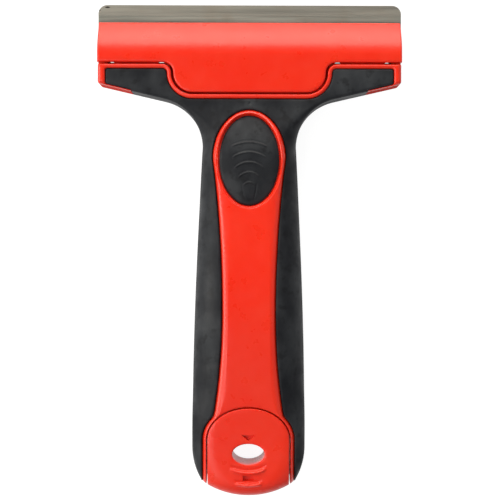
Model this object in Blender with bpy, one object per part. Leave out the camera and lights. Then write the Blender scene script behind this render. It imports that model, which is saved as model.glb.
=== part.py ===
# Tile and glass scraper with a sprung blade clamp and a drawer of spare blades.
# It lies on its back: +X to the right, +Y towards the blade, +Z out of the front face.
# The origin is in the middle of the outline, at the height of the surface it lies on.

import math

import bmesh
import bpy
from mathutils import Matrix, Vector

# Overall sizes, in metres. The blade sets the width of the head and the length of the handle.
BLADE_WIDTH = 0.1
BLADE_OVERHANG = 0.0002
NECK_LENGTH = 0.02075
HEAD_HEIGHT = 0.0135
END_LENGTH = 0.02015

# Clearances
GAP = 0.0003
SLIT = 0.00079
CAP_GAP = 0.00042
RUNNING_GAP = 0.0003
OVERRUN = 0.006

# Blade
BLADE_DEPTH = 0.018
BLADE_THICKNESS = 0.0005
BLADE_REACH = 0.006
BLADE_CORNER_RADIUS = 0.0027
BLADE_BACK_CORNER_RADIUS = 0.0006
GROUND_BEVEL = 0.0036
GROUND_EDGE = 0.00008
PEG_HOLE_DIAMETER = 0.004
PEG_FROM_END = 0.019
PEG_FROM_BACK = 0.005
PEG_RISE = 0.0004

# Blade seat and lower jaw of the handle
SEAT_Z = 0.0046
JAW_SETBACK = 0.0011
JAW_TIP_BACK_Z = 0.0027

# Clamp cover and its tongue
LIP_FRONT_Z = 0.0071
SLOPE_DEPTH = 0.0083
COVER_WALL = 0.002
COVER_END_WALL = 0.0017
CLAMP_BAR_DEPTH = 0.0044
COVER_ROUNDING = 0.0006
TONGUE_HALF_WIDTH = 0.0248
TONGUE_LENGTH = 0.0098
TONGUE_THICKNESS = 0.0023
TONGUE_ROOT_RADIUS = 0.0028
TONGUE_CORNER_RADIUS = 0.0053
TONGUE_TRAVEL_ROOM = 0.0018
SLOPE_SHARES = (0.12, 0.28, 0.46, 0.64, 0.82, 1.0)
SLOPE_POWER = 0.8
COVER_RIB_X = 0.0125
COVER_RIB_THICKNESS = 0.0014
COVER_RIB_REACH = 0.0035

# Hinge of the cover
BLADE_BACK_PLAY = 0.00055
HINGE_SETBACK = 0.0006
HINGE_Z = 0.0085
KNUCKLE_RADIUS = 0.0019
INNER_EAR_FROM_TONGUE = 0.0012
INNER_EAR_WIDTH = 0.002
OUTER_EAR_WIDTH = 0.0034
KNUCKLE_INNER_PLAY = 0.0017
KNUCKLE_OUTER_PLAY = 0.0021
SLOT_FRONT_REACH = 0.0028
EAR_RADIUS = 0.00175
PIN_DIAMETER = 0.0016
PIN_RECESS = 0.0004

# Clamp springs
SPRING_X = 0.012
SPRING_FROM_TONGUE_END = 0.0042
SPRING_DIAMETER = 0.0052
SPRING_WIRE = 0.0006
SPRING_TURNS = 4.5
SPRING_POINTS_PER_TURN = 10
SPRING_WELL_FLOOR_Z = 0.0048
SPRING_WELL_PLAY = 0.0007
SPRING_BOSS_DIAMETER = 0.0027
SPRING_BOSS_HEIGHT = 0.0012

# Outline of the handle, seen from the front
HANDLE_HALF_WIDTH = 0.01835
NECK_HALF_WIDTH = 0.0153
NECK_FROM_BLADE = 0.02965
WIDEST_FROM_END = 0.02465
WAIST_POWER = 1.55
FLARE_RADIUS = 0.0161
WING_SLOPE = math.radians(13.1)
WING_CORNER_RADIUS = 0.0026
END_CORNER_RADIUS = 0.0218
END_CORNER_SHARE = 0.752
END_ARC_RADIUS = 0.0272
END_FRONT_ROUNDING = 0.0034
END_BACK_ROUNDING = 0.0018

# Side view: where the front and the back of the handle are highest and lowest
END_FRONT_Z = 0.0152
PALM_FRONT_Z = 0.02
PALM_SHARE = 0.5336
PAD_FRONT_Z = 0.0174
PAD_FRONT_FROM_BLADE = 0.03265
HEAD_FRONT_FROM_BLADE = 0.01415
END_BACK_Z = 0.0008
REST_START_FROM_END = 0.00865
REST_END_SHARE = 0.604
NECK_BACK_Z = 0.0025
NECK_BACK_START_FROM_BLADE = 0.04265
NECK_BACK_END_FROM_BLADE = 0.03265
HEAD_BACK_START_FROM_BLADE = 0.01515
HEAD_BACK_END_FROM_BLADE = 0.00115

# Cross-section of the handle
FRONT_ROUND_SHARE = 0.62
BACK_ROUND_SHARE = 0.5
END_ROUND_SHARE = 0.4
FRONT_ROUND_Z = 0.009
BACK_ROUND_Z = 0.0065
END_ROUND_Z = 0.0048
HEAD_ROUND = 0.0013
HEAD_BLEND_START_FROM_BLADE = 0.03165
HEAD_BLEND_END_FROM_BLADE = 0.01515
END_BLEND_START_FROM_END = 0.03665
END_BLEND_END_FROM_END = 0.02065

# Soft grip
GRIP_THICKNESS = 0.002
PANEL_THICKNESS = 0.0015
PANEL_BORDER = 0.0013
PANEL_FROM_END = 0.0028
PANEL_LOW_FROM_END = 0.0112
PANEL_LOW_BORDER = 0.001
GRIP_BACK_FROM_BLADE = 0.01665
PARTING_Z = 0.0075
PARTING_STEP = 0.0001

# Red strip, thumb pad and its ring
STRIP_WAIST_HALF_WIDTH = 0.00863
STRIP_WAIST_SHARE = 0.5284
STRIP_UPPER_RADIUS = 0.3876
STRIP_LOWER_RADIUS = 0.2083
RING_HALF_WIDTH = 0.0117
RING_HALF_LENGTH = 0.0168
RING_FROM_BLADE = 0.03415
PAD_HALF_WIDTH = 0.0095
PAD_HALF_LENGTH = 0.0144
PAD_POCKET_DEPTH = 0.0019
PAD_EDGE_DROP = 0.0011
PAD_CROWN = 0.0018
PAD_LAYERS = 4
PAD_RIB_WIDTH = 0.0011
PAD_RIB_HEIGHT = 0.0005
PAD_RIB_PITCH = 0.00324
PAD_TOP_RIB_RISE = 0.0066
PAD_RIB_HALF_LENGTH = 0.0056
PAD_RIB_LENGTH_SHARES = (1.0, 1.0, 0.86, 0.66, 0.43)
PAD_RIB_SAG = 0.0019
RIB_ROOT = 0.0003
RIB_TOP_SHARE = 0.55

# Cap, hang hole and drawer
CAP_HALF_WIDTH = 0.01326
CAP_ARCH_HEIGHT = 0.0104
CAP_ARCH_FROM_END = 0.01885
RAIL_WIDTH = 0.00125
PLATE_THICKNESS = 0.002
CAP_WALL = 0.002
HANG_HOLE_HALF_WIDTH = 0.00527
HANG_HOLE_HALF_LENGTH = 0.00342
HANG_HOLE_FROM_END = 0.01425
HANG_HOLE_WALL = 0.0015
FINGER_RIB_WIDTH = 0.0008
FINGER_RIB_HEIGHT = 0.0004
UPPER_FINGER_RIB_HALF_LENGTH = 0.0053
UPPER_FINGER_RIB_FROM_END = 0.00875
UPPER_FINGER_RIB_SAG = 0.00145
LOWER_FINGER_RIB_HALF_LENGTH = 0.0043
LOWER_FINGER_RIB_FROM_END = 0.00475
LOWER_FINGER_RIB_SAG = 0.0006
CHANNEL_FLOOR_Z = 0.0062
SPARE_BLADE_PLAY = 0.0004
TRAY_FLOOR = 0.001
TRAY_LIP_THICKNESS = 0.0009
TRAY_LIP_HEIGHT = 0.0022
SPARE_BLADES = 5

# Facets
ARC_STEP = math.radians(15)
CORNER_STEPS = 5
WAIST_STEPS = 9
ROUND_SIDES = 24
PIN_SIDES = 16
SHARP_ANGLE = math.radians(32)
BACK_RIM_STEPS = 3
FRONT_RIM_STEPS = 4
END_ARC_SIDES = 36
RIB_STEPS = 8
OVAL_STEPS = 8
KNUCKLE_TURN = math.radians(135)
OBLIQUE_SHARE = 0.2
NEAR_SHARE = 0.003

# Places worked out from the sizes above
CHANNEL_LENGTH = TRAY_LIP_THICKNESS * 2 + BLADE_WIDTH + RUNNING_GAP * 2
TOTAL_LENGTH = END_LENGTH + CHANNEL_LENGTH + NECK_LENGTH + BLADE_DEPTH
EDGE_Y = TOTAL_LENGTH / 2
END_Y = -TOTAL_LENGTH / 2
HEAD_HALF = BLADE_WIDTH / 2 - BLADE_OVERHANG
LIP_Y = EDGE_Y - BLADE_REACH
BLADE_BACK_Y = EDGE_Y - BLADE_DEPTH
BLADE_Z = SEAT_Z + GAP
PEG_X = BLADE_WIDTH / 2 - PEG_FROM_END
COVER_BACK_Z = BLADE_Z + BLADE_THICKNESS + GAP
HINGE_Y = BLADE_BACK_Y - BLADE_BACK_PLAY - EAR_RADIUS
COVER_REAR_Y = HINGE_Y + HINGE_SETBACK
TONGUE_END_Y = COVER_REAR_Y - TONGUE_LENGTH
JAW_Y = LIP_Y - JAW_SETBACK
PLATE_BACK_Z = HEAD_HEIGHT - COVER_WALL
BORE_RADIUS = PIN_DIAMETER / 2 + RUNNING_GAP
EAR_INNER_X = TONGUE_HALF_WIDTH + INNER_EAR_FROM_TONGUE
SLOT_INNER_X = EAR_INNER_X + INNER_EAR_WIDTH
SLOT_OUTER_X = HEAD_HALF - OUTER_EAR_WIDTH
KNUCKLE_INNER_X = SLOT_INNER_X + KNUCKLE_INNER_PLAY
KNUCKLE_OUTER_X = SLOT_OUTER_X - KNUCKLE_OUTER_PLAY
SPRING_Y = TONGUE_END_Y + SPRING_FROM_TONGUE_END
TONGUE_BACK_Z = HEAD_HEIGHT - TONGUE_THICKNESS
POCKET_FLOOR_Z = TONGUE_BACK_Z - TONGUE_TRAVEL_ROOM
NECK_Y = BLADE_BACK_Y - NECK_FROM_BLADE
WIDEST_Y = END_Y + WIDEST_FROM_END
PALM_Y = END_Y + (NECK_Y - END_Y) * PALM_SHARE
PAD_FRONT_Y = BLADE_BACK_Y - PAD_FRONT_FROM_BLADE
HEAD_FRONT_Y = BLADE_BACK_Y - HEAD_FRONT_FROM_BLADE
REST_START_Y = END_Y + REST_START_FROM_END
REST_END_Y = END_Y + (NECK_Y - END_Y) * REST_END_SHARE
NECK_BACK_START_Y = BLADE_BACK_Y - NECK_BACK_START_FROM_BLADE
NECK_BACK_END_Y = BLADE_BACK_Y - NECK_BACK_END_FROM_BLADE
HEAD_BACK_START_Y = BLADE_BACK_Y - HEAD_BACK_START_FROM_BLADE
HEAD_BACK_END_Y = BLADE_BACK_Y - HEAD_BACK_END_FROM_BLADE
HEAD_BLEND_START_Y = BLADE_BACK_Y - HEAD_BLEND_START_FROM_BLADE
HEAD_BLEND_END_Y = BLADE_BACK_Y - HEAD_BLEND_END_FROM_BLADE
END_BLEND_START_Y = END_Y + END_BLEND_START_FROM_END
END_BLEND_END_Y = END_Y + END_BLEND_END_FROM_END
GRIP_BACK_END_Y = BLADE_BACK_Y - GRIP_BACK_FROM_BLADE
PANEL_OUTER_X = HEAD_HALF - PANEL_FROM_END
PANEL_LOW_X = HEAD_HALF - PANEL_LOW_FROM_END
STRIP_WAIST_Y = END_Y + (NECK_Y - END_Y) * STRIP_WAIST_SHARE
RING_Y = BLADE_BACK_Y - RING_FROM_BLADE
END_ARC_Y = END_Y + END_ARC_RADIUS
END_CORNER_Y = END_Y + END_CORNER_RADIUS * END_CORNER_SHARE
HANDLE_END_FACE_Y = END_Y + END_LENGTH
CAP_ARCH_Y = END_Y + CAP_ARCH_FROM_END
HANG_HOLE_Y = END_Y + HANG_HOLE_FROM_END
SPARE_PITCH = BLADE_THICKNESS + GAP
SPARE_START_Y = HANDLE_END_FACE_Y + TRAY_LIP_THICKNESS
CHANNEL_HALF_WIDTH = BLADE_DEPTH / 2 + SPARE_BLADE_PLAY + TRAY_LIP_THICKNESS + RUNNING_GAP
CHANNEL_HEIGHT = RUNNING_GAP * 2 + TRAY_FLOOR + SPARE_PITCH * SPARE_BLADES + GAP
CHANNEL_END_Y = HANDLE_END_FACE_Y + CHANNEL_LENGTH
TRAY_BACK_Z = CHANNEL_FLOOR_Z + RUNNING_GAP
TRAY_TOP_Z = TRAY_BACK_Z + TRAY_FLOOR
ABOVE_ALL_Z = PALM_FRONT_Z + OVERRUN
BELOW_ALL_Z = -OVERRUN


def smooth_step(value, start, end):
    """Rise from 0 at start to 1 at end, level at both."""
    share = min(max((value - start) / (end - start), 0.0), 1.0)
    return share * share * (3.0 - 2.0 * share)


def height_along(stations, y):
    """Height at y on a line that eases from each station (y, z) to the next."""
    for (y_a, z_a), (y_b, z_b) in zip(stations, stations[1:]):
        if y <= y_b:
            return z_a + (z_b - z_a) * smooth_step(y, y_a, y_b)
    return stations[-1][1]


def front_z(y):
    """Front of the handle and head in side view."""
    return height_along([
        (END_Y, END_FRONT_Z),
        (PALM_Y, PALM_FRONT_Z),
        (PAD_FRONT_Y, PAD_FRONT_Z),
        (HEAD_FRONT_Y, HEAD_HEIGHT),
    ], y)


def back_z(y):
    """Back of the handle and head in side view: it rests on the palm and on the head."""
    return height_along([
        (END_Y, END_BACK_Z),
        (REST_START_Y, 0.0),
        (REST_END_Y, 0.0),
        (NECK_BACK_START_Y, NECK_BACK_Z),
        (NECK_BACK_END_Y, NECK_BACK_Z),
        (HEAD_BACK_START_Y, 0.0),
        (HEAD_BACK_END_Y, 0.0),
        (JAW_Y, JAW_TIP_BACK_Z),
    ], y)


def cover_top_z(y):
    """Front of the cover: a rounded slope from the lip to the flat."""
    share = min(max((LIP_Y - y) / SLOPE_DEPTH, 0.0), 1.0)
    return LIP_FRONT_Z + (HEAD_HEIGHT - LIP_FRONT_Z) * math.sin(share * math.pi / 2) ** SLOPE_POWER


def arc(centre, radius, start, end):
    """Points on an arc from one angle to the other, ends included."""
    steps = max(2, math.ceil(abs(end - start) / ARC_STEP))
    angles = [start + (end - start) * step / steps for step in range(steps + 1)]
    return [(centre[0] + radius * math.cos(a), centre[1] + radius * math.sin(a)) for a in angles]


def oval(centre, half_width, half_length, sides=ROUND_SIDES):
    """Closed oval, counter-clockwise."""
    turns = [2 * math.pi * side / sides for side in range(sides)]
    return [(centre[0] + half_width * math.cos(a), centre[1] + half_length * math.sin(a)) for a in turns]


def mirrored(right_side):
    """Closed outline from its right side, given from the low end up."""
    left_side = [(-x, y) for x, y in reversed(right_side) if x > 0.0]
    return right_side + left_side


def offset_outline(outline, distance):
    """Move a counter-clockwise closed outline outwards; a negative distance shrinks it."""
    moved = []
    count = len(outline)
    for index, point in enumerate(outline):
        before = Vector(point) - Vector(outline[index - 1])
        after = Vector(outline[(index + 1) % count]) - Vector(point)
        normal_a = Vector((before.y, -before.x)).normalized()
        normal_b = Vector((after.y, -after.x)).normalized()
        mitre = (normal_a + normal_b) / (1.0 + normal_a.dot(normal_b))
        moved.append((point[0] + mitre.x * distance, point[1] + mitre.y * distance))
    return moved


def waist_half_width(y):
    """Half width of the handle between its widest place and the neck."""
    share = min(max((y - WIDEST_Y) / (NECK_Y - WIDEST_Y), 0.0), 1.0)
    return HANDLE_HALF_WIDTH - (HANDLE_HALF_WIDTH - NECK_HALF_WIDTH) * share ** WAIST_POWER


def side_outline():
    """Right side of the handle and head from the end to the jaw, as (half width, y)."""
    end_centre = (HANDLE_HALF_WIDTH - END_CORNER_RADIUS, END_CORNER_Y)
    below_end = END_CORNER_Y - END_Y + OVERRUN / 2
    points = arc(end_centre, END_CORNER_RADIUS, -math.asin(below_end / END_CORNER_RADIUS), 0.0)
    waist_ys = [WIDEST_Y + (NECK_Y - WIDEST_Y) * step / WAIST_STEPS for step in range(WAIST_STEPS)]
    points += [(waist_half_width(y), y) for y in waist_ys]
    flare_centre = (NECK_HALF_WIDTH + FLARE_RADIUS, NECK_Y)
    points += arc(flare_centre, FLARE_RADIUS, math.pi, math.pi / 2 + WING_SLOPE)
    turn = math.pi / 2 - WING_SLOPE
    foot = points[-1]
    side_y = foot[1] + (HEAD_HALF - foot[0]) * math.tan(WING_SLOPE)
    corner_y = side_y + WING_CORNER_RADIUS * math.tan(turn / 2)
    corner_centre = (HEAD_HALF - WING_CORNER_RADIUS, corner_y)
    corner = arc(corner_centre, WING_CORNER_RADIUS, -turn, 0.0)
    points += [((foot[0] * 2 + corner[0][0]) / 3, (foot[1] * 2 + corner[0][1]) / 3)]
    points += [((foot[0] + corner[0][0] * 2) / 3, (foot[1] + corner[0][1] * 2) / 3)]
    points += corner
    points += [(HEAD_HALF, HEAD_BACK_END_Y), (HEAD_HALF, (HEAD_BACK_END_Y + JAW_Y) / 2), (HEAD_HALF, JAW_Y)]
    return points


def cross_section(half_width, y, spread, inset):
    """Rounded section of the handle at y, as (x, z). spread widens a round where the side is oblique."""
    head = smooth_step(y, HEAD_BLEND_START_Y, HEAD_BLEND_END_Y)
    end = smooth_step(-y, -END_BLEND_START_Y, -END_BLEND_END_Y)
    front_share = FRONT_ROUND_SHARE + (END_ROUND_SHARE - FRONT_ROUND_SHARE) * end
    back_share = BACK_ROUND_SHARE + (END_ROUND_SHARE - BACK_ROUND_SHARE) * end
    front_drop = FRONT_ROUND_Z + (END_ROUND_Z - FRONT_ROUND_Z) * end
    back_drop = BACK_ROUND_Z + (END_ROUND_Z - BACK_ROUND_Z) * end
    head_x = min(HEAD_ROUND * spread, half_width / 2)
    least = HEAD_ROUND / 4
    front_x = max(front_share * half_width * (1 - head) + head_x * head - inset, least)
    back_x = max(back_share * half_width * (1 - head) + head_x * head - inset, least)
    front_r = max(front_drop * (1 - head) + HEAD_ROUND * head - inset, least)
    back_r = max(back_drop * (1 - head) + HEAD_ROUND * head - inset, least)
    front_inset = min(inset, inset + (PANEL_THICKNESS - GRIP_THICKNESS) * head) if inset else 0.0
    top = front_z(y) - front_inset
    bottom = back_z(y) + inset
    right = []
    for step in range(CORNER_STEPS + 1):
        turn = math.pi / 2 * step / CORNER_STEPS
        right.append((half_width - back_x * (1 - math.sin(turn)), bottom + back_r * (1 - math.cos(turn))))
    for step in range(CORNER_STEPS + 1):
        turn = math.pi / 2 * step / CORNER_STEPS
        right.append((half_width - front_x * (1 - math.cos(turn)), top - front_r * (1 - math.sin(turn))))
    return right + [(-x, z) for x, z in reversed(right)]


def skin(bm, rings):
    """Closed skin through rings of vertices of the same count."""
    for ring_a, ring_b in zip(rings, rings[1:]):
        for index in range(len(ring_a)):
            follow = (index + 1) % len(ring_a)
            bm.faces.new((ring_a[index], ring_a[follow], ring_b[follow], ring_b[index]))
    bm.faces.new(rings[0])
    bm.faces.new(rings[-1])


def new_object(name, bm):
    """Object from a finished bmesh, with its faces pointing out."""
    bmesh.ops.recalc_face_normals(bm, faces=bm.faces)
    mesh = bpy.data.meshes.new(name)
    bm.to_mesh(mesh)
    bm.free()
    solid = bpy.data.objects.new(name, mesh)
    bpy.context.scene.collection.objects.link(solid)
    return solid


def handle_loft(name, inset=0.0):
    """The handle and head as one smooth solid, with its skin moved in by inset."""
    side = side_outline()
    bm = bmesh.new()
    rings = []
    for index, (half_width, y) in enumerate(side):
        low = Vector(side[max(index - 1, 0)])
        high = Vector(side[min(index + 1, len(side) - 1)])
        along = (high - low).normalized()
        spread = 1.0 / max(along.y, OBLIQUE_SHARE)
        x_in = half_width - along.y * inset
        y_in = y + along.x * inset
        if index == len(side) - 1:
            y_in = y
        section = cross_section(x_in, y_in, spread, inset)
        rings.append([bm.verts.new((x, y_in, z)) for x, z in section])
    skin(bm, rings)
    return new_object(name, bm)


def bent_prism(name, outline, bottom, top, stations=(), rounding=0.0, steps=2):
    """Prism on an outline whose bottom and top are heights along y, with a rounded top edge."""
    bm = bmesh.new()
    rings = [[bm.verts.new((x, y, 0.0)) for x, y in outline]]
    for step in range(steps + 1 if rounding else 1):
        turn = math.pi / 2 * step / steps if rounding else math.pi / 2
        inset = rounding * (1 - math.cos(turn)) if rounding else 0.0
        drop = rounding * (1 - math.sin(turn))
        level = offset_outline(outline, -inset)
        rings.append([bm.verts.new((x, y, TOTAL_LENGTH - drop)) for x, y in level])
    skin(bm, rings)
    for y in stations:
        bmesh.ops.bisect_plane(
            bm, geom=bm.verts[:] + bm.edges[:] + bm.faces[:],
            plane_co=(0.0, y, 0.0), plane_no=(0.0, 1.0, 0.0), dist=GAP * NEAR_SHARE)
    if stations:
        bmesh.ops.triangulate(bm, faces=[face for face in bm.faces if len(face.verts) > 4])
    for vert in bm.verts:
        if vert.co.z > TOTAL_LENGTH / 2:
            vert.co.z = top(vert.co.y) + vert.co.z - TOTAL_LENGTH
        else:
            vert.co.z = bottom(vert.co.y)
    return new_object(name, bm)


def rib(name, half_length, line_y, surface_z, width, height):
    """Low bar with sloping sides on a bowed line across a surface."""
    section = [
        (-width / 2, -RIB_ROOT), (width / 2, -RIB_ROOT),
        (width / 2 * RIB_TOP_SHARE, height), (-width / 2 * RIB_TOP_SHARE, height)]
    bm = bmesh.new()
    rings = []
    for step in range(RIB_STEPS + 1):
        x = half_length * (step * 2 / RIB_STEPS - 1)
        y = line_y(x)
        rings.append([bm.verts.new((x, y + out, surface_z(x, y) + up)) for out, up in section])
    skin(bm, rings)
    return new_object(name, bm)


def prism(name, outline, low_z, high_z):
    """Straight prism on an outline."""
    return bent_prism(name, outline, lambda y: low_z, lambda y: high_z)


def cross_prism(name, profile, low_x, high_x):
    """Prism along X on a profile of (y, z)."""
    bm = bmesh.new()
    skin(bm, [[bm.verts.new((x, y, z)) for y, z in profile] for x in (low_x, high_x)])
    return new_object(name, bm)


def long_prism(name, profile, low_y, high_y):
    """Prism along Y on a profile of (x, z)."""
    bm = bmesh.new()
    skin(bm, [[bm.verts.new((x, y, z)) for x, z in profile] for y in (low_y, high_y)])
    return new_object(name, bm)


def block(name, low, high):
    """Rectangular block between two corners."""
    outline = [(low[0], low[1]), (high[0], low[1]), (high[0], high[1]), (low[0], high[1])]
    return prism(name, outline, low[2], high[2])


def apply_tool(solid, tool, operation):
    """Boolean that uses up its tool."""
    modifier = solid.modifiers.new(operation.lower(), "BOOLEAN")
    modifier.operation = operation
    modifier.solver = "EXACT"
    modifier.object = tool
    depsgraph = bpy.context.evaluated_depsgraph_get()
    mesh = bpy.data.meshes.new_from_object(solid.evaluated_get(depsgraph))
    solid.modifiers.clear()
    solid.data = mesh
    bpy.data.objects.remove(tool)
    return solid


def cut(solid, *tools):
    for tool in tools:
        apply_tool(solid, tool, "DIFFERENCE")
    return solid


def join(solid, *tools):
    for tool in tools:
        apply_tool(solid, tool, "UNION")
    return solid


def keep(solid, tool):
    return apply_tool(solid, tool, "INTERSECT")


def end_form():
    """Everything inside the round end of the handle; its rim is rounded front and back."""
    floor = END_BACK_Z - GAP
    levels = [(END_ARC_RADIUS - END_BACK_ROUNDING, BELOW_ALL_Z - OVERRUN * 3)]
    for step in range(BACK_RIM_STEPS + 1):
        turn = math.pi / 2 * step / BACK_RIM_STEPS
        levels.append((
            END_ARC_RADIUS - END_BACK_ROUNDING * (1 - math.sin(turn)),
            floor + END_BACK_ROUNDING * (1 - math.cos(turn))))
    for step in range(FRONT_RIM_STEPS + 1):
        turn = math.pi / 2 * step / FRONT_RIM_STEPS
        levels.append((
            END_ARC_RADIUS - END_FRONT_ROUNDING * (1 - math.cos(turn)),
            END_FRONT_Z - END_FRONT_ROUNDING * (1 - math.sin(turn))))
    levels.append((END_ARC_RADIUS - END_FRONT_ROUNDING, ABOVE_ALL_Z + OVERRUN * 3))
    reach = HEAD_HALF + OVERRUN * 2
    bm = bmesh.new()
    rings = []
    for radius, z in levels:
        turns = [math.pi * step / END_ARC_SIDES for step in range(END_ARC_SIDES + 1)]
        outline = [(-radius * math.cos(turn), END_ARC_Y - radius * math.sin(turn)) for turn in turns]
        outline += [(radius, PALM_Y), (reach, PALM_Y + reach), (reach, EDGE_Y + OVERRUN * 2)]
        outline += [(-reach, EDGE_Y + OVERRUN * 2), (-reach, PALM_Y + reach), (-radius, PALM_Y)]
        rings.append([bm.verts.new((x, y, z)) for x, y in outline])
    skin(bm, rings)
    return new_object("end_form", bm)


def tongue_line(grow):
    """Right edge of the tongue, from the middle of its end up to the wing, moved out by grow."""
    corner_centre = (TONGUE_HALF_WIDTH - TONGUE_CORNER_RADIUS, TONGUE_END_Y + TONGUE_CORNER_RADIUS)
    root_centre = (TONGUE_HALF_WIDTH + TONGUE_ROOT_RADIUS, COVER_REAR_Y - TONGUE_ROOT_RADIUS)
    points = arc(corner_centre, TONGUE_CORNER_RADIUS + grow, -math.pi / 2, 0.0)
    points += arc(root_centre, TONGUE_ROOT_RADIUS - grow, math.pi, math.pi / 2)
    return points


def cover_outline(half_width, front_y, grow=0.0):
    """Cover and tongue seen from the front."""
    rear_y = COVER_REAR_Y - grow
    return mirrored(tongue_line(grow) + [(half_width, rear_y), (half_width, front_y)])


def strip_half_width(y):
    """Half width of the red strip above and below its waist."""
    radius = STRIP_UPPER_RADIUS if y > STRIP_WAIST_Y else STRIP_LOWER_RADIUS
    return STRIP_WAIST_HALF_WIDTH + (y - STRIP_WAIST_Y) ** 2 / (radius * 2)


def strip_outline():
    """Red strip of the front: the fork round the cap, the waist and the oval ring."""
    fork_x = CAP_HALF_WIDTH + CAP_GAP + RAIL_WIDTH
    fork_y = CAP_ARCH_HEIGHT + CAP_GAP + RAIL_WIDTH
    right = [(fork_x, END_Y - OVERRUN)]
    turn = 0.0
    while turn < math.pi / 2:
        x = fork_x * math.cos(turn)
        y = CAP_ARCH_Y + fork_y * math.sin(turn)
        if x < strip_half_width(y):
            break
        right.append((x, y))
        turn += ARC_STEP / 2
    start_y = right[-1][1] + PANEL_BORDER
    for step in range(WAIST_STEPS):
        y = start_y + (RING_Y - start_y) * step / WAIST_STEPS
        right.append((strip_half_width(y), y))
    right += [
        (RING_HALF_WIDTH * math.cos(angle), RING_Y + RING_HALF_LENGTH * math.sin(angle))
        for angle in [math.pi / 2 * step / OVAL_STEPS for step in range(OVAL_STEPS + 1)]]
    right[-1] = (0.0, RING_Y + RING_HALF_LENGTH)
    return mirrored(right)


def cap_outline(low_y, grow=0.0):
    """Cap seen from the front: straight sides and an elliptical arch."""
    half = CAP_HALF_WIDTH + grow
    height = CAP_ARCH_HEIGHT + grow
    right = [(half, low_y)]
    right += [
        (half * math.cos(angle), CAP_ARCH_Y + height * math.sin(angle))
        for angle in [math.pi / 2 * step / OVAL_STEPS for step in range(OVAL_STEPS + 1)]]
    right[-1] = (0.0, CAP_ARCH_Y + height)
    return mirrored(right)


def red_head_outline(grow=0.0):
    """What stays red in the head: ends, rim round the tongue and the line under the wing panels."""
    reach = HEAD_HALF + OVERRUN
    border = SLIT + PANEL_BORDER
    wing_top_y = COVER_REAR_Y - border
    foot_y = NECK_Y + FLARE_RADIUS * math.cos(WING_SLOPE)
    foot_x = NECK_HALF_WIDTH + FLARE_RADIUS * (1 - math.sin(WING_SLOPE))
    rise = math.tan(WING_SLOPE)
    low_y = foot_y + (PANEL_LOW_X - foot_x) * rise + PANEL_LOW_BORDER
    corner_y = foot_y + (PANEL_OUTER_X - foot_x) * rise + PANEL_LOW_BORDER
    right = tongue_line(border) + [
        (PANEL_OUTER_X, wing_top_y),
        (PANEL_OUTER_X, corner_y),
        (PANEL_LOW_X, low_y),
        (PANEL_LOW_X, NECK_Y),
        (reach, NECK_Y),
        (reach, EDGE_Y + OVERRUN),
    ]
    outline = mirrored(right)
    return offset_outline(outline, grow)


def grip_from(outer, gap):
    """Cut a solid down to the soft grip. A gap makes the room that the grip takes in the handle."""
    reach = HEAD_HALF + OVERRUN
    rail_x = CAP_HALF_WIDTH + CAP_GAP + RAIL_WIDTH - gap - PARTING_STEP
    top_z = ABOVE_ALL_Z + OVERRUN * 2
    low_z = BELOW_ALL_Z - OVERRUN * 2
    cut(outer, handle_loft("grip_core", GRIP_THICKNESS + gap))
    strip_z = PARTING_Z - PARTING_STEP
    cut(outer, prism("strip", offset_outline(strip_outline(), -gap), strip_z, top_z))
    cut(outer, prism("red_head", red_head_outline(-gap), strip_z - PARTING_STEP - gap, top_z))
    back_y = GRIP_BACK_END_Y + gap
    cut(outer, block("head_back", (-reach, back_y, low_z), (reach, EDGE_Y + OVERRUN, PARTING_Z)))
    fork_y = HANDLE_END_FACE_Y - gap
    cut(outer, block("fork", (-rail_x, END_Y - OVERRUN * 2, low_z), (rail_x, fork_y, top_z)))
    return outer


def ear_profile(radius, front_y):
    """Side view of a hinge ear or knuckle: a round nose on a block that runs back into the wall."""
    nose = arc((HINGE_Y, HINGE_Z), radius, 0.0, math.pi / 2)
    return nose + [(front_y, HINGE_Z + radius), (front_y, SEAT_Z - GAP), (HINGE_Y + radius, SEAT_Z - GAP)]


def pin_bore(side, radius, inner_x, outer_x):
    """Round rod along the hinge axis on one side of the head."""
    ring = [
        (HINGE_Y + radius * math.cos(a), HINGE_Z + radius * math.sin(a))
        for a in [2 * math.pi * step / PIN_SIDES for step in range(PIN_SIDES)]]
    return across("bore", ring, side, inner_x, outer_x)


def across(name, profile, side, inner_x, outer_x):
    """Cross prism on one side of the middle plane."""
    low_x, high_x = sorted((side * inner_x, side * outer_x))
    return cross_prism(name, profile, low_x, high_x)


def cap_room():
    """Room for the cap: right through between the prongs, and a shallow recess under its arch."""
    reach = HEAD_HALF + OVERRUN
    room = prism("cap_room", cap_outline(END_Y - OVERRUN, CAP_GAP), BELOW_ALL_Z - OVERRUN, ABOVE_ALL_Z)
    floor = handle_loft("recess_floor", PLATE_THICKNESS + GAP)
    low = (-reach, HANDLE_END_FACE_Y, BELOW_ALL_Z - OVERRUN * 2)
    cut(room, keep(floor, block("recess_zone", low, (reach, NECK_Y, ABOVE_ALL_Z + OVERRUN))))
    under = (-reach, HANDLE_END_FACE_Y + PARTING_STEP, BELOW_ALL_Z - OVERRUN * 2)
    return cut(room, block("under_recess", under, (reach, NECK_Y + OVERRUN, PARTING_Z)))


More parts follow.
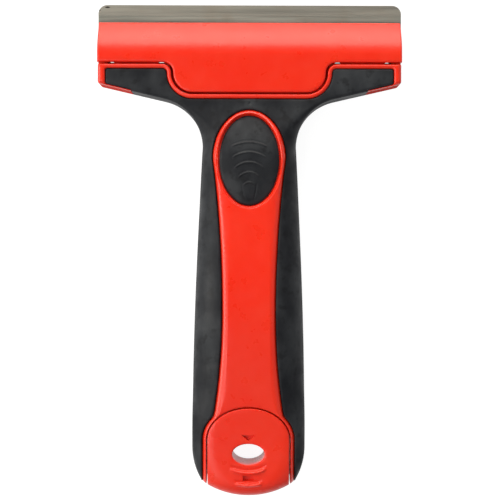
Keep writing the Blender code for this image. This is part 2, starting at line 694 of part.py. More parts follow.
def make_handle_core():
    """Red moulding: blade seat, hinge ears, strip, ring, blade channel and the two prongs."""
    core = handle_loft("handle_core")
    reach = HEAD_HALF + OVERRUN
    room = block(
        "grip_room", (-reach, END_Y - OVERRUN, BELOW_ALL_Z),
        (reach, HEAD_FRONT_Y + PANEL_OUTER_X, ABOVE_ALL_Z))
    cut(core, grip_from(room, GAP))
    keep(core, end_form())
    clearing = cover_outline(reach, EDGE_Y + OVERRUN, SLIT)
    cut(core, prism("cover_zone", clearing, POCKET_FLOOR_Z, ABOVE_ALL_Z))
    seat = block("seat", (-reach, HINGE_Y, SEAT_Z), (reach, EDGE_Y + OVERRUN, ABOVE_ALL_Z))
    cut(core, seat)
    bed_y = COVER_REAR_Y - SLIT
    ears = ear_profile(EAR_RADIUS, bed_y - OVERRUN / 2)
    for side in (1, -1):
        join(core, across("ears", ears, side, EAR_INNER_X, HEAD_HALF))
        slot_z = HINGE_Z + KNUCKLE_RADIUS + GAP
        slot_y = HINGE_Y - KNUCKLE_RADIUS - GAP
        slot = [
            (slot_y, BELOW_ALL_Z), (HINGE_Y + SLOT_FRONT_REACH, BELOW_ALL_Z),
            (HINGE_Y + SLOT_FRONT_REACH, slot_z), (slot_y, slot_z)]
        cut(core, across("slot", slot, side, SLOT_INNER_X, SLOT_OUTER_X))
        cut(core, pin_bore(side, BORE_RADIUS, EAR_INNER_X - GAP, reach))
        well = oval((side * SPRING_X, SPRING_Y), SPRING_DIAMETER / 2 + SPRING_WELL_PLAY,
                    SPRING_DIAMETER / 2 + SPRING_WELL_PLAY, PIN_SIDES)
        cut(core, prism("well", well, SPRING_WELL_FLOOR_Z, HEAD_HEIGHT))
        peg_radius = PEG_HOLE_DIAMETER / 2 - GAP
        peg = oval((side * PEG_X, BLADE_BACK_Y + PEG_FROM_BACK), peg_radius, peg_radius, PIN_SIDES)
        join(core, prism("peg", peg, SEAT_Z - GAP, BLADE_Z + BLADE_THICKNESS + PEG_RISE))
    pad_pocket = oval((0.0, RING_Y), PAD_HALF_WIDTH + GAP, PAD_HALF_LENGTH + GAP)
    stations = [RING_Y + RING_HALF_LENGTH * step / 4 for step in range(-4, 5)]
    cut(core, bent_prism("pad_pocket", pad_pocket, lambda y: front_z(y) - PAD_POCKET_DEPTH,
                         lambda y: ABOVE_ALL_Z, stations))
    cut(core, block("channel", (-CHANNEL_HALF_WIDTH, END_Y - OVERRUN, CHANNEL_FLOOR_Z),
                    (CHANNEL_HALF_WIDTH, CHANNEL_END_Y, CHANNEL_FLOOR_Z + CHANNEL_HEIGHT)))
    cut(core, cap_room())
    return core


def make_soft_grip():
    """Black overmoulding of the handle and the wings."""
    grip = grip_from(handle_loft("soft_grip"), 0.0)
    return keep(grip, end_form())


def pad_top_z(x, y):
    """Domed top of the thumb pad, without its ribs."""
    out = (x / PAD_HALF_WIDTH) ** 2 + ((y - RING_Y) / PAD_HALF_LENGTH) ** 2
    return front_z(y) - PAD_EDGE_DROP + PAD_CROWN * (1.0 - out)


def pad_sole_z(y):
    """Underside of the thumb pad."""
    return front_z(y) - PAD_POCKET_DEPTH + GAP


def make_thumb_pad():
    """Domed oval pad with bowed ribs, seated in the ring."""
    bm = bmesh.new()
    sole = oval((0.0, RING_Y), PAD_HALF_WIDTH / 2, PAD_HALF_LENGTH / 2)
    rings = [[bm.verts.new((x, y, pad_sole_z(y))) for x, y in sole]]
    base = oval((0.0, RING_Y), PAD_HALF_WIDTH, PAD_HALF_LENGTH)
    rings.append([bm.verts.new((x, y, pad_sole_z(y))) for x, y in base])
    for layer in range(PAD_LAYERS):
        share = 1.0 - layer / PAD_LAYERS
        level = oval((0.0, RING_Y), PAD_HALF_WIDTH * share, PAD_HALF_LENGTH * share)
        rings.append([bm.verts.new((x, y, pad_top_z(x, y))) for x, y in level])
    skin(bm, rings)
    pad = new_object("thumb_pad", bm)
    for index, share in enumerate(PAD_RIB_LENGTH_SHARES):
        crown_y = RING_Y + PAD_TOP_RIB_RISE - PAD_RIB_PITCH * index
        half = PAD_RIB_HALF_LENGTH * share
        sag = PAD_RIB_SAG * share
        join(pad, rib(
            "pad_rib", half, lambda x: crown_y - sag * (x / half) ** 2, pad_top_z,
            PAD_RIB_WIDTH, PAD_RIB_HEIGHT))
    return pad


def make_clamp_cover():
    """Cover with its slope, clamping bar, tongue, knuckles and spring bosses."""
    outline = cover_outline(HEAD_HALF, LIP_Y)
    slope_ys = [LIP_Y - SLOPE_DEPTH * share for share in SLOPE_SHARES]
    cover = bent_prism(
        "clamp_cover", outline, lambda y: COVER_BACK_Z, cover_top_z, slope_ys, COVER_ROUNDING)
    bar_y = LIP_Y - CLAMP_BAR_DEPTH
    inner = HEAD_HALF - COVER_END_WALL
    hollow_outline = [(-inner, TONGUE_END_Y - OVERRUN), (inner, TONGUE_END_Y - OVERRUN), (inner, bar_y),
                      (-inner, bar_y)]
    hollow_ys = [y for y in slope_ys if y < bar_y]
    cut(cover, bent_prism(
        "hollow", hollow_outline, lambda y: BELOW_ALL_Z, lambda y: cover_top_z(y) - COVER_WALL, hollow_ys))
    reach = HEAD_HALF + OVERRUN
    cut(cover, block("tongue_room", (-reach, TONGUE_END_Y - OVERRUN, BELOW_ALL_Z),
                     (reach, COVER_REAR_Y - GAP, TONGUE_BACK_Z)))
    ear_room_y = HINGE_Y + EAR_RADIUS + GAP
    ear_room_z = HINGE_Z + EAR_RADIUS + GAP * 2
    for side in (1, -1):
        low_x, high_x = sorted((side * (inner - GAP), side * reach))
        cut(cover, block(
            "ear_room", (low_x, COVER_REAR_Y - GAP * 2, BELOW_ALL_Z), (high_x, ear_room_y, ear_room_z)))
        knuckle = arc((HINGE_Y, HINGE_Z), KNUCKLE_RADIUS, KNUCKLE_TURN, math.pi * 2)
        web_y = HINGE_Y + KNUCKLE_RADIUS
        knuckle += [(web_y, PLATE_BACK_Z + COVER_WALL / 2), (COVER_REAR_Y, PLATE_BACK_Z + COVER_WALL / 2),
                    (COVER_REAR_Y, HINGE_Z + KNUCKLE_RADIUS)]
        join(cover, across("knuckle", knuckle, side, KNUCKLE_INNER_X, KNUCKLE_OUTER_X))
        cut(cover, pin_bore(side, BORE_RADIUS, KNUCKLE_INNER_X - GAP, KNUCKLE_OUTER_X + GAP))
        boss_radius = SPRING_BOSS_DIAMETER / 2
        boss = oval((side * SPRING_X, SPRING_Y), boss_radius, boss_radius, PIN_SIDES)
        boss_top_z = HEAD_HEIGHT - TONGUE_THICKNESS / 2
        join(cover, prism("boss", boss, TONGUE_BACK_Z - SPRING_BOSS_HEIGHT, boss_top_z))
        rib_x = side * COVER_RIB_X
        rib_half = COVER_RIB_THICKNESS / 2
        join(cover, block(
            "rib", (rib_x - rib_half, COVER_REAR_Y + COVER_WALL, PLATE_BACK_Z - COVER_RIB_REACH),
            (rib_x + rib_half, bar_y + GAP, PLATE_BACK_Z - COVER_WALL)))
    return cover


def blade_outline():
    """Blade seen from the front: large corners at the cutting edge, small ones at the back."""
    half = BLADE_WIDTH / 2
    back = BLADE_BACK_CORNER_RADIUS
    front = BLADE_CORNER_RADIUS
    right = arc((half - back, BLADE_BACK_Y + back), back, -math.pi / 2, 0.0)
    right += arc((half - front, EDGE_Y - front), front, 0.0, math.pi / 2)
    return mirrored(right)


def make_blade(name, move_y, low_z):
    """Steel blade, ground to an edge on its front, with two holes for the pegs."""
    start = EDGE_Y - GROUND_BEVEL

    def top(y):
        share = max((y - start) / GROUND_BEVEL, 0.0)
        return BLADE_THICKNESS - (BLADE_THICKNESS - GROUND_EDGE) * share

    blade = bent_prism(name, blade_outline(), lambda y: 0.0, top, [start])
    for side in (1, -1):
        radius = PEG_HOLE_DIAMETER / 2
        hole = oval((side * PEG_X, BLADE_BACK_Y + PEG_FROM_BACK), radius, radius, PIN_SIDES)
        cut(blade, prism("hole", hole, -OVERRUN, OVERRUN))
    blade.data.transform(move_matrix(0.0, move_y, low_z))
    return blade


def make_spare_blade(index):
    """Spare blade along the tray: its width runs along Y."""
    blade = make_blade(f"spare_blade_{index + 1}", 0.0, 0.0)
    centre_y = EDGE_Y - BLADE_DEPTH / 2
    for vert in blade.data.vertices:
        x, y, z = vert.co
        vert.co = (y - centre_y, SPARE_START_Y + BLADE_WIDTH / 2 - x, z)
    blade.data.transform(move_matrix(0.0, 0.0, TRAY_TOP_Z + GAP + SPARE_PITCH * index))
    return blade


def move_matrix(x, y, z):
    """Translation matrix."""
    return Matrix.Translation((x, y, z))


def make_pin(name, side):
    """Hinge pin of one knuckle."""
    pin = pin_bore(side, PIN_DIAMETER / 2, EAR_INNER_X, HEAD_HALF - PIN_RECESS)
    pin.name = name
    return pin


def make_spring(name, side):
    """Compression spring under the tongue, as one unbroken tube."""
    low_z = SPRING_WELL_FLOOR_Z + GAP + SPRING_WIRE / 2
    high_z = TONGUE_BACK_Z - GAP - SPRING_WIRE / 2
    radius = (SPRING_DIAMETER - SPRING_WIRE) / 2
    count = int(SPRING_TURNS * SPRING_POINTS_PER_TURN)
    points = []
    for index in range(count + 1):
        turn = 2 * math.pi * index / SPRING_POINTS_PER_TURN
        z = low_z + (high_z - low_z) * index / count
        points.append((side * SPRING_X + radius * math.cos(turn), SPRING_Y + radius * math.sin(turn), z))
    curve = bpy.data.curves.new(name, "CURVE")
    curve.dimensions = "3D"
    curve.bevel_depth = SPRING_WIRE / 2
    curve.bevel_resolution = 1
    curve.use_fill_caps = True
    spline = curve.splines.new("POLY")
    spline.points.add(len(points) - 1)
    for point, place in zip(spline.points, points):
        point.co = (*place, 1.0)
    least = min(
        (Vector(a) - Vector(b)).length
        for index, a in enumerate(points) for b in points[index + SPRING_POINTS_PER_TURN // 2:])
    print(f"{name}: least gap to itself {(least - SPRING_WIRE) * 1000:.2f} mm")
    spring = bpy.data.objects.new(name, curve)
    bpy.context.scene.collection.objects.link(spring)
    return spring


def cap_inside():
    """What is hollow in the cap: the space inside its walls and all that is under its arch."""
    reach = HANDLE_HALF_WIDTH + OVERRUN
    face_y = HANDLE_END_FACE_Y - GAP + PARTING_STEP
    top_y = CAP_ARCH_Y + CAP_ARCH_HEIGHT + OVERRUN
    inner = CAP_HALF_WIDTH - CAP_WALL
    radius = END_ARC_RADIUS - CAP_WALL
    turn = math.asin(inner / radius)
    outline = arc((0.0, END_ARC_Y), radius, -math.pi / 2 - turn, -math.pi / 2 + turn)
    outline += [(inner, face_y), (reach, face_y), (reach, top_y)]
    outline += [(-reach, top_y), (-reach, face_y), (-inner, face_y)]
    inside = handle_loft("cap_inside", CAP_WALL)
    return keep(inside, prism("cap_inside_outline", outline, BELOW_ALL_Z, ABOVE_ALL_Z))


def make_drawer():
    """Cap with the hang hole, and the tray that carries the spare blades."""
    drawer = handle_loft("spare_blade_drawer")
    keep(drawer, prism("cap", cap_outline(END_Y - OVERRUN), BELOW_ALL_Z, ABOVE_ALL_Z))
    keep(drawer, end_form())
    cut(drawer, cap_inside())
    reach = HANDLE_HALF_WIDTH + OVERRUN
    top_y = CAP_ARCH_Y + CAP_ARCH_HEIGHT + OVERRUN
    cut(drawer, block("arch_back", (-reach, HANDLE_END_FACE_Y - GAP, BELOW_ALL_Z), (reach, top_y, PARTING_Z)))
    tube = oval(
        (0.0, HANG_HOLE_Y), HANG_HOLE_HALF_WIDTH + HANG_HOLE_WALL, HANG_HOLE_HALF_LENGTH + HANG_HOLE_WALL)
    tube_low = back_z(HANG_HOLE_Y) + CAP_WALL / 2
    tube_high = front_z(HANG_HOLE_Y) - CAP_WALL / 2
    join(drawer, prism("tube", tube, tube_low, tube_high))
    tray_half = CHANNEL_HALF_WIDTH - RUNNING_GAP
    tray_end = CHANNEL_END_Y - RUNNING_GAP
    lip_z = TRAY_TOP_Z + TRAY_LIP_HEIGHT
    lip_x = tray_half - TRAY_LIP_THICKNESS
    right = [(tray_half, TRAY_BACK_Z), (tray_half, lip_z), (lip_x, lip_z), (lip_x, TRAY_TOP_Z)]
    tray = long_prism("tray", mirrored(right), HANG_HOLE_Y, tray_end)
    stop_x = lip_x + TRAY_LIP_THICKNESS / 2
    join(tray, block(
        "stop", (-stop_x, tray_end - TRAY_LIP_THICKNESS, TRAY_TOP_Z - TRAY_FLOOR / 2),
        (stop_x, tray_end - TRAY_LIP_THICKNESS / 4, lip_z - TRAY_LIP_THICKNESS / 2)))
    join(drawer, tray)
    hole = oval((0.0, HANG_HOLE_Y), HANG_HOLE_HALF_WIDTH, HANG_HOLE_HALF_LENGTH)
    cut(drawer, prism("hang_hole", hole, BELOW_ALL_Z, ABOVE_ALL_Z))
    finger_ribs = (
        (UPPER_FINGER_RIB_HALF_LENGTH, UPPER_FINGER_RIB_FROM_END, UPPER_FINGER_RIB_SAG),
        (LOWER_FINGER_RIB_HALF_LENGTH, LOWER_FINGER_RIB_FROM_END, LOWER_FINGER_RIB_SAG))
    for rib_half, from_end, sag in finger_ribs:
        join(drawer, rib(
            "finger_rib", rib_half, lambda x: END_Y + from_end + sag * (x / rib_half) ** 2,
            lambda x, y: front_z(y), FINGER_RIB_WIDTH, FINGER_RIB_HEIGHT))
    return drawer


def plastic(name, colour, roughness, metallic=0.0):
    """Principled material of one finish."""
    material = bpy.data.materials.new(name)
    material.use_nodes = True
    shader = material.node_tree.nodes["Principled BSDF"]
    shader.inputs["Base Color"].default_value = (*colour, 1.0)
    shader.inputs["Roughness"].default_value = roughness
    shader.inputs["Metallic"].default_value = metallic
    return material


def finish(solid, material):
    """Give a solid its material and smooth its round faces."""
    solid.data.materials.clear()
    solid.data.materials.append(material)
    if solid.type == "MESH":
        solid.data.shade_smooth()
        solid.data.set_sharp_from_angle(angle=SHARP_ANGLE)


def main():
    for old in list(bpy.data.objects):
        bpy.data.objects.remove(old)
    red = plastic("red_plastic", (0.85, 0.045, 0.025), 0.38)
    black = plastic("black_rubber", (0.02, 0.023, 0.026), 0.7)
    steel = plastic("blade_steel", (0.42, 0.41, 0.39), 0.35, 1.0)
    wire = plastic("spring_steel", (0.5, 0.5, 0.5), 0.3, 1.0)
    finish(make_handle_core(), red)
    finish(make_clamp_cover(), red)
    finish(make_drawer(), red)
    finish(make_soft_grip(), black)
    finish(make_thumb_pad(), black)
    finish(make_blade("scraper_blade", 0.0, BLADE_Z), steel)
    for index in range(SPARE_BLADES):
        finish(make_spare_blade(index), steel)
    for name, side in (("right", 1), ("left", -1)):
        finish(make_pin(f"hinge_pin_{name}", side), steel)
        finish(make_spring(f"clamp_spring_{name}", side), wire)


main()
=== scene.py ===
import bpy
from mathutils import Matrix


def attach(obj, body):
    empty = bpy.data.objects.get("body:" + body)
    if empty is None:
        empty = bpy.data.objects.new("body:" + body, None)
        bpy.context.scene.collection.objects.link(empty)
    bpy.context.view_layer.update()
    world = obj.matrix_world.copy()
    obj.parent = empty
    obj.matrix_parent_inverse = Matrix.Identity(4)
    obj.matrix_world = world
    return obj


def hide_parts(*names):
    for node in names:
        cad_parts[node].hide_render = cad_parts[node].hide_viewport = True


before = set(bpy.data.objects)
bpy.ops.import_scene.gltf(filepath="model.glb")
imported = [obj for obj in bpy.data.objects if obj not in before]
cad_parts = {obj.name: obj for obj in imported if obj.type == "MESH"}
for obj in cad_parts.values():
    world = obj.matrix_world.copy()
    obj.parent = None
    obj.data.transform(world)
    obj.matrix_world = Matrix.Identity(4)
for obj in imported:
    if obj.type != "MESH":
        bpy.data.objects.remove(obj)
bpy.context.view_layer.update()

import math

import bmesh
import bpy
import numpy as np
from mathutils import Vector
from mathutils.geometry import delaunay_2d_cdt
from mathutils.kdtree import KDTree

mm = 0.001  # sizes of the part are in millimetres, the lamps and the floor in metres
far = 90.0  # beyond every side of the part
play = 0.3  # clearance of moving pieces, and what a tool reaches past a face
# edge loops round an edge, in degrees of its rounding and then as shares of its width
roundSteps = dict(rim=(14, 27, 40, 54, 70, 90), groove=(0, 30, 55, 90), edge=(20, 40, 62, 90))
loopShares = {kind: [1 - math.cos(math.radians(d)) for d in steps] for kind, steps in roundSteps.items()}
grooveFlat = 0.05  # half of a groove's level floor

# the moulded handle, seen from the front and from the side
handle = dict(
    endY=-80.3, edgeY=80.65, headHalf=49.45, jawY=73.55, neckY=33.25, widestY=-56.0,
    halfWidth=18.35, neckHalf=15.3, waistPower=1.55, flareRadius=16.1, wingSlope=13.1, wingCorner=0.9,
    endCorner=21.8, endCornerY=-64.256, endArc=27.2, endFrontRound=4.2, endBackRound=1.8,
    frontLine=[(-80.65, 15.2), (-20.01, 20.0), (30.0, 17.4), (48.5, 13.5)],
    backLine=[(-80.65, 0.8), (-72.0, 0.0), (-12.0, 0.0), (20.0, 2.5), (30.0, 2.5), (47.5, 0.0), (61.5, 0.0),
              (73.55, 2.7)],
    frontShare=0.62, backShare=0.5, endShare=0.4, frontDrop=9.0, backDrop=6.5, endDrop=4.8,
    headRound=1.3, headBlend=(31.0, 47.5), endBlend=(-44.0, -60.0), leastRound=0.4)
endCentreY = handle["endY"] + handle["endArc"]
pastX, pastY = handle["headHalf"] + 6, handle["edgeY"] + 6  # past the head's corners

# where the soft grip meets the red plastic
parting = dict(
    z=7.5, gripThickness=2.0, panelThickness=1.5, stripWaist=8.63, stripWaistY=-20.6, stripUpper=387.6,
    stripLower=208.3, ringY=28.5, ringHalfWidth=12.1, ringHalfLength=16.9, pocketDepth=1.9,
    gate=(0.2, 47.5), gateRadius=0.45, gateDepth=0.35, backEndY=46.0, wrap=1.6, forkX=14.93, gripEndY=62.0,
    panelBorder=1.3, panelOuterX=47.0, panelLowX=38.6, panelLowBorder=0.35, panelCorner=0.8, slit=0.79,
    redRound=(1.8, 1.3), ringRound=(1.2, 1.4), ringBlend=(4.0, 17.0),
    headRound=(0.7, 0.5), slitRound=(0.35, 0.3), capRound=(0.45, 0.45), softerX=(0.0, 8.0),
    lipInset=(1.55, 1.6), lipRound=(0.45, 0.3), lipStep=0.12, lipFade=(27.0, 37.0),
    lipEndFade=(13.0, 19.0), pocket=(10.0, 15.0), pocketY=28.8, pocketRound=(0.5, 0.7),
    blackRound=(0.6, 0.6), blackSink=0.12, panelSink=0.3, sinkFrom=(44.0, 50.0))

cap = dict(
    half=13.26, archY=-61.8, archHeight=10.4, gap=0.42, rail=1.25, faceY=-60.5, plate=2.0, wall=2.0,
    lowY=-86.0, holeY=-66.4, holeHalfWidth=5.27, holeHalfLength=3.42, holeWall=1.5, tubeZ=(1.0, 14.6),
    edgeRound=(0.35, 0.3), holeRound=(0.35, 0.3), fingerZone=(-6.4, -77.4, 6.4, -68.9, 0.22),
    arrowHalf=2.2, arrowTopY=-60.1, arrowTipY=-62.0, arrowDepth=1.0,
    markHalf=1.75, markY=(-75.0, -73.3), markDepth=1.1,
    ridge=0.28, ridgeZ=(7.0, 9.0), ridgeEndY=-73.8)

cover = dict(
    half=49.65, lipY=74.65, rearY=60.95, tongueEndY=51.15, tongueHalf=24.8, tongueCorner=6.2, tongueRoot=3.6,
    tongueThickness=2.3, lipZ=7.1, topZ=13.5, slopeDepth=11.2, backZ=5.7, wall=2.0, endWall=1.7,
    barDepth=4.4, edgeRound=0.6, pocketFloorZ=9.4, ribX=12.5, ribHalf=0.7, ribZ=(8.0, 9.5))

hinge = dict(
    y=60.35, z=8.5, knuckle=1.9, ear=1.75, bore=1.1, earInnerX=26.0, slotInnerX=28.0, slotOuterX=46.4,
    knuckleInnerX=29.7, knuckleOuterX=44.3, slotReach=2.8, earLowZ=4.3, earReach=3.0)

springs = dict(
    x=12.0, y=55.35, diameter=5.2, wire=0.6, turns=4.5, lowZ=5.1, highZ=10.9, wellFloorZ=4.8, wellRadius=3.3,
    bossRadius=1.35, bossZ=(10.0, 12.2))

blade = dict(
    half=50.0, backY=62.65, frontRadius=2.9, backRadius=0.6, lowZ=4.9, thickness=0.5, bevel=3.6, edge=0.08,
    edgeRound=(0.12, 0.06), pegX=31.0, pegY=67.65, pegHole=2.0, pegRadius=1.7, pegZ=(4.3, 5.8), seatZ=4.6)

tray = dict(
    half=10.3, backZ=6.5, topZ=7.5, lipZ=9.7, lip=0.9, endY=41.6,
    channelHalf=10.6, channelLow=6.2, channelHigh=12.1, channelEndY=41.9)


# lines and heights
def ease(value, start, end):
    share = np.clip((value - start) / (end - start), 0.0, 1.0)
    return share * share * (3.0 - 2.0 * share)


def heightAlong(stations, y):
    z = np.full(y.shape, float(stations[-1][1]))
    for (yA, zA), (yB, zB) in reversed(list(zip(stations, stations[1:]))):
        z = np.where(y <= yB, zA + (zB - zA) * ease(y, yA, yB), z)
    return z


def arc(centre, radius, start, end, step):
    count = max(2, math.ceil(abs(end - start) / step))
    angles = [math.radians(start + (end - start) * i / count) for i in range(count + 1)]
    return [(centre[0] + radius * math.cos(a), centre[1] + radius * math.sin(a)) for a in angles]


def oval(centre, halfWidth, halfLength, sides=72):
    (x, y), turns = centre, [2 * math.pi * i / sides for i in range(sides)]
    return np.array([(x + halfWidth * math.cos(a), y + halfLength * math.sin(a)) for a in turns])


def quarterOval(halfWidth, y, halfLength, count):
    turns = np.linspace(0.0, math.pi / 2, count)[:-1]
    return [(halfWidth * math.cos(a), y + halfLength * math.sin(a)) for a in turns] + [(0.0, y + halfLength)]


def mirrored(rightSide):
    left = [(-x, y) for x, y in reversed(rightSide) if x > 1e-6]
    return np.array(rightSide + left)


def resample(line, spacing, closed=False):
    # even points along each straight run, corners kept
    points = [tuple(p) for p in line] + ([tuple(line[0])] if closed else [])
    out = [points[0]]
    for (xA, yA), (xB, yB) in zip(points, points[1:]):
        length = math.hypot(xB - xA, yB - yA)
        if length < 1e-6:
            continue
        count = max(1, round(length / spacing))
        out += [(xA + (xB - xA) * i / count, yA + (yB - yA) * i / count) for i in range(1, count + 1)]
    if closed:
        out.pop()
    return np.array(out)


def offsetLine(line, distance, closed=False):
    # moves a line to its right-hand side; the outside of a counter-clockwise outline
    line = np.asarray(line, float)
    before = line - np.roll(line, 1, axis=0)
    after = np.roll(line, -1, axis=0) - line
    if not closed:
        before[0], after[-1] = after[0], before[-1]
    def normals(v):
        n = np.stack([v[:, 1], -v[:, 0]], axis=1)
        return n / np.maximum(np.linalg.norm(n, axis=1, keepdims=True), 1e-9)
    nA, nB = normals(before), normals(after)
    mitre = (nA + nB) / np.maximum(1.0 + np.sum(nA * nB, axis=1, keepdims=True), 0.3)
    return line + mitre * np.reshape(distance, (-1, 1))


def lineDistance(points, line, closed=False):
    points = np.asarray(points, float)
    a = np.asarray(line, float)
    b = np.roll(a, -1, axis=0)
    if not closed:
        a, b = a[:-1], b[:-1]
    ab = b - a
    size = np.maximum(np.sum(ab * ab, axis=1), 1e-12)
    best = np.empty(len(points))
    for start in range(0, len(points), 1500):
        p = points[start:start + 1500, None, :]
        t = np.clip(np.sum((p - a) * ab, axis=2) / size, 0.0, 1.0)
        best[start:start + 1500] = np.linalg.norm(p - (a + ab * t[:, :, None]), axis=2).min(axis=1)
    return best


def inPolygon(points, polygon):
    points, polygon = np.asarray(points, float), np.asarray(polygon, float)
    x, y = points[:, 0], points[:, 1]
    found = np.zeros(len(points), bool)
    for (xA, yA), (xB, yB) in zip(polygon, np.roll(polygon, -1, axis=0)):
        crosses = (yA > y) != (yB > y)
        if yA != yB:
            found ^= crosses & (x < (xB - xA) * (y - yA) / (yB - yA) + xA)
    return found


def roundDrop(distance, width, depth):
    # quarter-ellipse edge: depth at the edge, nothing from width inwards
    share = np.clip(1.0 - distance / np.maximum(width, 1e-6), 0.0, 1.0)
    return depth * (1.0 - np.sqrt(np.maximum(1.0 - share * share, 0.0)))


def within(outline):
    return lambda points: inPolygon(points, outline)


def flatAt(z):
    return lambda points: np.full(len(points), z)


def edgeRings(line, width):
    # a closed edge and the loops inside it, closer together where its rounding is steeper
    return [(line, True)] + [(offsetLine(line, -width * share, True), True) for share in loopShares["edge"]]


# outlines of the handle
def waistHalf(y):
    share = np.clip((y - handle["widestY"]) / (handle["neckY"] - handle["widestY"]), 0.0, 1.0)
    return handle["halfWidth"] - (handle["halfWidth"] - handle["neckHalf"]) * share ** handle["waistPower"]


def sideLine(inset):
    h = handle
    centre = (h["halfWidth"] - h["endCorner"], h["endCornerY"])
    low = math.degrees(math.asin((h["endCornerY"] - h["endY"] + 3.0) / h["endCorner"]))
    points = arc(centre, h["endCorner"], -low, 0.0, 3.0)
    for y in np.linspace(h["widestY"], h["neckY"], 60)[:-1]:
        points.append((float(waistHalf(y)), float(y)))
    middle = (h["neckHalf"] + h["flareRadius"], h["neckY"])
    points += arc(middle, h["flareRadius"], 180.0, 90.0 + h["wingSlope"], 3.0)
    foot = points[-1]
    turn = 90.0 - h["wingSlope"]
    sideY = foot[1] + (h["headHalf"] - foot[0]) * math.tan(math.radians(h["wingSlope"]))
    cornerY = sideY + h["wingCorner"] * math.tan(math.radians(turn / 2))
    points += arc((h["headHalf"] - h["wingCorner"], cornerY), h["wingCorner"], -turn, 0.0, 8.0)
    points.append((h["headHalf"], h["jawY"]))
    line = resample(points, 1.1)
    if inset:
        line = offsetLine(line, -inset)
        line[-1, 1] = h["jawY"]
    return line


def silhouette(inset=0.0):
    # closed outline of the handle and head, round end included
    radius = handle["endArc"] - inset
    side = [p for p in sideLine(inset) if p[1] > endCentreY or math.hypot(p[0], p[1] - endCentreY) < radius]
    x, y = side[0]
    start = math.degrees(math.atan2(y - endCentreY, x))
    end = [(radius * math.cos(math.radians(a)), endCentreY + radius * math.sin(math.radians(a)))
           for a in np.linspace(-90.0, start, 22)[:-1]]
    end[0] = (0.0, endCentreY - radius)
    return resample(mirrored(end + [tuple(p) for p in side]), 1.1, True)


def tongueLine(grow):
    c = cover
    points = arc((c["tongueHalf"] - c["tongueCorner"], c["tongueEndY"] + c["tongueCorner"]),
                 c["tongueCorner"] + grow, -90.0, 0.0, 6.0)
    root = (c["tongueHalf"] + c["tongueRoot"], c["rearY"] - c["tongueRoot"])
    return points + arc(root, c["tongueRoot"] - grow, 180.0, 90.0, 8.0)


def coverOutline(half, frontY, grow=0.0):
    return mirrored(tongueLine(grow) + [(half, cover["rearY"] - grow), (half, frontY)])


def stripHalf(y):
    p = parting
    radius = p["stripUpper"] if y > p["stripWaistY"] else p["stripLower"]
    return p["stripWaist"] + (y - p["stripWaistY"]) ** 2 / (radius * 2)


def stripOutline():
    p = parting
    forkX = cap["half"] + cap["gap"] + cap["rail"]
    forkY = cap["archHeight"] + cap["gap"] + cap["rail"]
    right = [(forkX, handle["endY"] - 6.0)]
    for degrees in np.arange(0.0, 90.0, 2.5):
        x = forkX * math.cos(math.radians(degrees))
        y = cap["archY"] + forkY * math.sin(math.radians(degrees))
        if x < stripHalf(y):
            break
        right.append((x, y))
    startY = right[-1][1] + 1.3
    for y in np.linspace(startY, p["ringY"], 50)[:-1]:
        right.append((stripHalf(y), float(y)))
    right += quarterOval(p["ringHalfWidth"], p["ringY"], p["ringHalfLength"], 22)
    # the ring leaves the strip in a smooth line
    xs = np.array([q[0] for q in right])
    for _ in range(3):
        xs[12:-3] = (xs[11:-4] + xs[12:-3] * 2 + xs[13:-2]) / 4
    return mirrored([(float(x), q[1]) for x, q in zip(xs, right)])


def redHeadOutline():
    h, p = handle, parting
    border = p["slit"] + p["panelBorder"]
    slope = math.radians(h["wingSlope"])
    footX = h["neckHalf"] + h["flareRadius"] * (1 - math.sin(slope))
    footY = h["neckY"] + h["flareRadius"] * math.cos(slope)
    lowY = footY + (p["panelLowX"] - footX) * math.tan(slope) + p["panelLowBorder"]
    cornerY = footY + (p["panelOuterX"] - footX) * math.tan(slope) + p["panelLowBorder"]
    topY = cover["rearY"] - border
    corner = p["panelCorner"]
    right = tongueLine(border) + arc((p["panelOuterX"] - corner, topY - corner), corner, 90.0, 0.0, 15.0)
    right += [(p["panelOuterX"], cornerY + 0.4), (p["panelOuterX"] - 0.4, cornerY - 0.05)]
    right += [(p["panelLowX"], lowY), (p["panelLowX"], h["neckY"]), (pastX, h["neckY"]), (pastX, pastY)]
    return mirrored(right)


def headBackOutline():
    # the red back of the head; the rubber wraps round the wings' inner edges
    h, p = handle, parting
    edge = [tuple(q) for q in sideLine(p["wrap"]) if q[1] > p["backEndY"] and q[0] < p["panelLowX"]]
    right = [(edge[0][0], p["backEndY"])] + edge + [(p["panelLowX"], edge[-1][1]), (p["panelLowX"], h["neckY"])]
    return mirrored(right + [(pastX, h["neckY"]), (pastX, pastY)])


def capOutline(grow):
    half = cap["half"] + grow
    return mirrored([(half, cap["lowY"])] + quarterOval(half, cap["archY"], cap["archHeight"] + grow, 24))


# height of the handle's front and back
def endDistance(points, inset):
    distance = handle["endArc"] - inset - np.hypot(points[:, 0], points[:, 1] - endCentreY)
    return np.where(points[:, 1] < endCentreY, np.maximum(distance, 0.0), 99.0)


def rimSize(y, share, drop):
    h = handle
    head = ease(y, *h["headBlend"])
    end = ease(-y, -h["endBlend"][0], -h["endBlend"][1])
    width = (share + (h["endShare"] - share) * end) * waistHalf(y) * (1 - head) + h["headRound"] * head
    depth = (drop + (h["endDrop"] - drop) * end) * (1 - head) + h["headRound"] * head
    return width, depth


def frontZ(points):
    return heightAlong(handle["frontLine"], points[:, 1])


